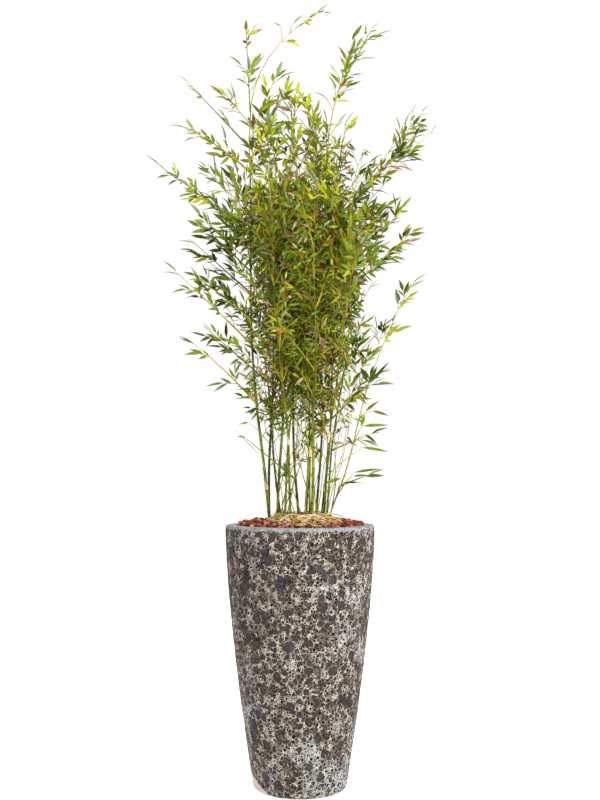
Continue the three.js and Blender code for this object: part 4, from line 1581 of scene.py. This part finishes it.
    def _wisps(self, cane: Cane, index: int) -> list[Stem]:
        """The thin upright twigs with few leaves that rise out of the top of the heart."""
        stems = []
        for number, share in enumerate(self.canes.nodes(cane, index)):
            height = share * cane.height * MM
            draw = random_source(20000 + index * 100 + number)
            for k in range(3 if height > self.wisp_floor else 0):
                towards, rise = number * 137 + index * 51 + k * 120 + 40 * draw(), 58 + 24 * draw()
                reach = 130 + 120 * draw()
                top = height + reach * MM * math.sin(math.radians(rise))
                row = Spray("", share * cane.height, towards, rise, reach, 6 * draw())
                seed = 21000 + index * 100 + number * 3 + k
                if draw() < self.wisp_share and top < self.wisp_ceiling:
                    wisp = self._stem_from(cane, row, self.stem_radius * 0.62, seed, 0.6)
                    stems.append(replace(wisp, spread=self.wisp_spread))
        return stems

    def _shoot_branches(self, shoot: Cane, index: int) -> list[Stem]:
        """The few small branches near the top of one thin shoot."""
        stems = []
        for number, share in enumerate(self.canes.nodes(shoot, 40 + index)):
            draw = random_source(7000 + index * 50 + number)
            kept = share > 0.5 and draw() < self.shoot_branch_share
            if kept and shoot.point(share)[0] > self.shoot_left_edge:
                row = Spray("", share * shoot.height, 360 * draw(), 35 + 30 * draw(), 80 + 60 * draw(), 6)
                seed = 9000 + index * 30 + number
                stems.append(self._stem_from(shoot, row, self.stem_radius * 0.6, seed, 0.4))
        top = Spray("", 0.99 * shoot.height, index * GOLDEN_ANGLE, 70, 90, 4)
        return stems + [self._stem_from(shoot, top, max(shoot.drawn_radius(1), 0.0007), 9900 + index, 0.4)]

    def _stem_from(self, cane: Cane, row: Spray, radius: float, seed: int, fullness: float) -> Stem:
        """A stem that leaves a cane as its row of sizes says.

        Args:
            cane: The cane that bears it.
            row: Its sizes.
            radius: Its radius where it leaves the cane, in metres.
            seed: What its numbers are drawn from.
            fullness: The share of its twigs that it keeps.

        Returns:
            The stem.
        """
        rise, turn = math.radians(row.rise), math.radians(row.towards)
        level = math.cos(rise)
        direction = np.array([level * math.cos(turn), level * math.sin(turn), math.sin(rise)])
        root = cane.point(row.at / cane.height)
        length = (row.reach - 0.6 * self.leaf_length / MM) * MM

        def path(share: float) -> np.ndarray:
            """The stem's middle line."""
            return root + direction * length * share - UP * row.droop * MM * share * share

        return Stem(path, length, self.spray_spread * MM, radius, seed, fullness)

    def _grow(self, name: str, stems: Iterable[Stem], nodes: list[str]) -> None:
        """Grows one part of the crown.

        Args:
            name: The part's name in its pieces' names.
            stems: The stems that bear its twigs.
            nodes: The solids that its pieces stand for.
        """
        twigs, leaves = Swarm(), LeafSwarm()
        for stem in stems:
            self._stem(stem, twigs)
            for path, length, seed in self._twigs(stem):
                self._twig(path, twigs, seed)
                self._leaves(path, length, seed, stem.leaves + seed % 3, stem.blade, leaves)
            count = 1 + round(3 * stem.fullness)
            self._leaves(stem.path, stem.length, stem.seed * 100 + 99, count, stem.blade, leaves)
        self._pieces(name, twigs, leaves, nodes)

    @staticmethod
    def _pieces(name: str, twigs: Swarm, leaves: LeafSwarm, nodes: list[str]) -> None:
        """Turns one part's twigs and leaves into its two pieces, which stand for some of the solids."""
        wood = [Bark.TWIG.value, Bark.GREEN_TWIG.value, Bark.BROWN_TWIG.value]
        tones = [leaf.value for leaf in Leaf]
        twig_piece = finished_piece(f"twigs_{name}", twigs.mesh(f"twigs_{name}", True), wood)
        leaf_piece = finished_piece(f"leaves_{name}", leaves.mesh(f"leaves_{name}"), tones)
        for piece in (twig_piece, leaf_piece):
            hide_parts(*nodes)

    def _stem(self, stem: Stem, twigs: Swarm) -> None:
        """Adds a stem's own tapering tube."""
        shares = np.linspace(0, 1, 7)
        line = np.array([stem.path(s) for s in shares])
        end = self.twig_radius * 0.7
        radii = end + (stem.radius - end) * (1 - shares) ** 1.2
        twigs.add_tube(line, radii, 4, (0, 0, 1, 0, 1, 0, 2)[stem.seed % 7])

    def _twigs(self, stem: Stem) -> list[tuple[Path, float, int]]:
        """The twigs of a stem, each with its straight path, its length and its seed."""
        count = max(3, round(stem.length / self.twig_gap))
        twigs = []
        for k in range(count):
            draw = random_source(stem.seed * 100 + k)
            share = stem.bare + (0.92 - stem.bare) * (k + 0.6 * draw()) / count
            angle = self.twig_angle + 14 * draw()
            turn = stem.seed * 50 + k * GOLDEN_ANGLE + 30 * draw()
            length = stem.spread * self.twig_reach * (1.25 - 0.5 * share) * (0.8 + 0.4 * draw())
            if draw() < stem.fullness:
                root, aim = stem.path(share), leaning(tangent(stem.path, share), angle, turn)
                twigs.append((self._straight(root, aim, length), length, stem.seed * 100 + k + 50))
        return twigs

    @staticmethod
    def _straight(root: np.ndarray, aim: np.ndarray, length: float) -> Path:
        """The path of a straight twig."""
        return lambda share: root + aim * length * share

    def _twig(self, path: Path, twigs: Swarm, seed: int) -> None:
        """Adds a twig's own thin tube."""
        radii = np.array([self.twig_radius, self.twig_radius * 0.6])
        twigs.add_tube(np.array([path(0.0), path(1.0)]), radii, 3, (0, 1, 0, 2, 0, 2)[seed % 6])

    def _leaves(
        self, path: Path, length: float, seed: int, count: int, blade: float, leaves: LeafSwarm
    ) -> None:
        """Adds the fan of leaves at a twig's end: one straight on, the others to both sides further back.

        Args:
            path: The twig's line.
            length: The twig's length.
            seed: What the fan's numbers are drawn from.
            count: How many leaves it has.
            blade: How long its leaves are beside the usual.
            leaves: Where the leaves are gathered.
        """
        draw = random_source(seed)
        direction = tangent(path, 0.97)
        upwards = UP - direction * direction[2]
        if np.linalg.norm(upwards) < 0.15:
            upwards = np.array([direction[1], -direction[0], 0.0]) + np.array([path(1)[0], path(1)[1], 0.0])
            upwards = upwards - direction * float(upwards @ direction)
        upwards = unit(upwards)
        sideways = np.cross(direction, upwards)
        roll = math.radians(150 * (draw() - 0.5))
        facing = upwards * math.cos(roll) + sideways * math.sin(roll)
        spread_side = np.cross(facing, direction)
        part = Part.at(path(1), draw() - 0.5)
        dealing = part.value
        inside = part in (Part.HEART, Part.LOW_SHADED)
        longer, wider = (self.heart_leaf, 0.70) if inside and blade == 1 else (self.leaf_length, 1.0)
        sag = 1.4 if inside and draw() < 0.7 else 0.15
        tone = dealing.pick(draw())
        withered_tone = TONE[Leaf.DRY if inside else Leaf.RUSSET]
        fan_step = 14 if inside else 5
        for k in range(count):
            side = 1 if k % 2 else -1
            stray = draw() - 0.5
            angle = math.radians(self.leaf_fan + fan_step * k + 22 * stray if k else 10 * stray)
            aim = direction * math.cos(angle) + spread_side * side * math.sin(angle)
            aim = aim + facing * 0.7 * (draw() - 0.5) + spread_side * 0.4 * (draw() - 0.5)
            aim = unit(aim - UP * sag * draw())
            back = min(0.9 * length, k * 0.010)
            size = (0.55 + 0.55 * draw()) * (1 - 0.05 * k)
            tilt = unit(facing + spread_side * (draw() - 0.5) * 1.2)
            single = dealing.pick(draw()) if draw() < 0.3 else tone
            leaves.add(
                path(1 - back / length),
                aim,
                tilt,
                blade * longer * size,
                wider * self.leaf_width * (0.75 + 0.4 * draw()) * (0.55 + 0.45 * size),
                0.02 + 0.26 * draw(),
                single,
                withered_tone if draw() < dealing.withered else None,
            )


# ---- the studio ------------------------------------------------------------------------------------------


@dataclass
class Studio:
    """The pale floor, the soft lights and the camera."""

    camera_place: tuple[float, float, float] = (0.0, -3.0, 0.8025)
    camera_pitch: float = 93.0
    lens: float = 53.75
    floor_size: float = 400.0
    surround: float = 0.41

    def build(self) -> None:
        """Builds the studio round the object."""
        self._floor()
        self._world()
        self._area("key", (2.2, -2.6, 2.9), (0.0, 0.0, 1.0), 1.3, 190.0)
        self._area("fill", (-2.8, -1.8, 1.5), (0.0, 0.0, 0.9), 2.4, 24.0)
        self._area("back", (-0.8, 2.8, 2.8), (0.0, 0.0, 1.3), 2.0, 54.0)
        camera = bpy.data.cameras.new("camera")
        camera.lens, camera.sensor_width = self.lens, 36.0
        view = bpy.data.objects.new("camera", camera)
        view.location = self.camera_place
        view.rotation_euler = (math.radians(self.camera_pitch), 0.0, 0.0)
        bpy.context.scene.collection.objects.link(view)
        bpy.context.scene.camera = view
        bpy.context.scene.view_settings.view_transform = "Standard"

    def _floor(self) -> None:
        """A wide pale floor."""
        bm = bmesh.new()
        bmesh.ops.create_grid(bm, x_segments=1, y_segments=1, size=self.floor_size / 2)
        floor = bpy.data.objects.new("studio_floor", mesh_from(bm, "studio_floor", smooth=False))
        bpy.context.scene.collection.objects.link(floor)
        material = bpy.data.materials.new("studio_floor")
        material.use_nodes = True
        shader = material.node_tree.nodes["Principled BSDF"]
        shader.inputs["Base Color"].default_value = (0.9, 0.9, 0.9, 1.0)
        shader.inputs["Roughness"].default_value = 0.9
        shader.inputs["Specular IOR Level"].default_value = 0.0
        shader.inputs["Emission Color"].default_value = (1.0, 1.0, 1.0, 1.0)
        shader.inputs["Emission Strength"].default_value = 1.02 - 0.9 * self.surround
        floor.data.materials.append(material)

    def _world(self) -> None:
        """A white surround that lights the object more softly than it looks behind it."""
        world = bpy.data.worlds.new("studio")
        world.use_nodes = True
        nodes = Nodes(world.node_tree)
        seen = nodes.add("ShaderNodeLightPath").outputs["Is Camera Ray"]
        background = world.node_tree.nodes["Background"]
        background.inputs["Color"].default_value = (1.0, 1.0, 1.0, 1.0)
        nodes.feed(background.inputs["Strength"], nodes.remap(seen, 0.0, 1.0, self.surround, 1.0, smooth=False))
        bpy.context.scene.world = world

    @staticmethod
    def _area(name: str, place: Sequence[float], target: Sequence[float], size: float, power: float) -> None:
        """One soft square light.

        Args:
            name: The light's name.
            place: Where it hangs.
            target: What it points at.
            size: Its side, in metres.
            power: Its power, in watts.
        """
        light = bpy.data.lights.new(name, "AREA")
        light.size, light.energy = size, power
        lamp = bpy.data.objects.new(name, light)
        lamp.location = place
        lamp.rotation_euler = (Vector(target) - Vector(place)).to_track_quat("-Z", "Y").to_euler()
        bpy.context.scene.collection.objects.link(lamp)


def main() -> None:
    """Builds the studio, the pot, what lies on it, the canes and the foliage, in that order."""
    logging.basicConfig(level=logging.INFO, format="%(message)s")
    Studio().build()
    GlazedPot().build()
    PotDressing().build()
    canes = Canes()
    canes.build()
    Foliage(canes).build()


if __name__ == "__main__":
    main()
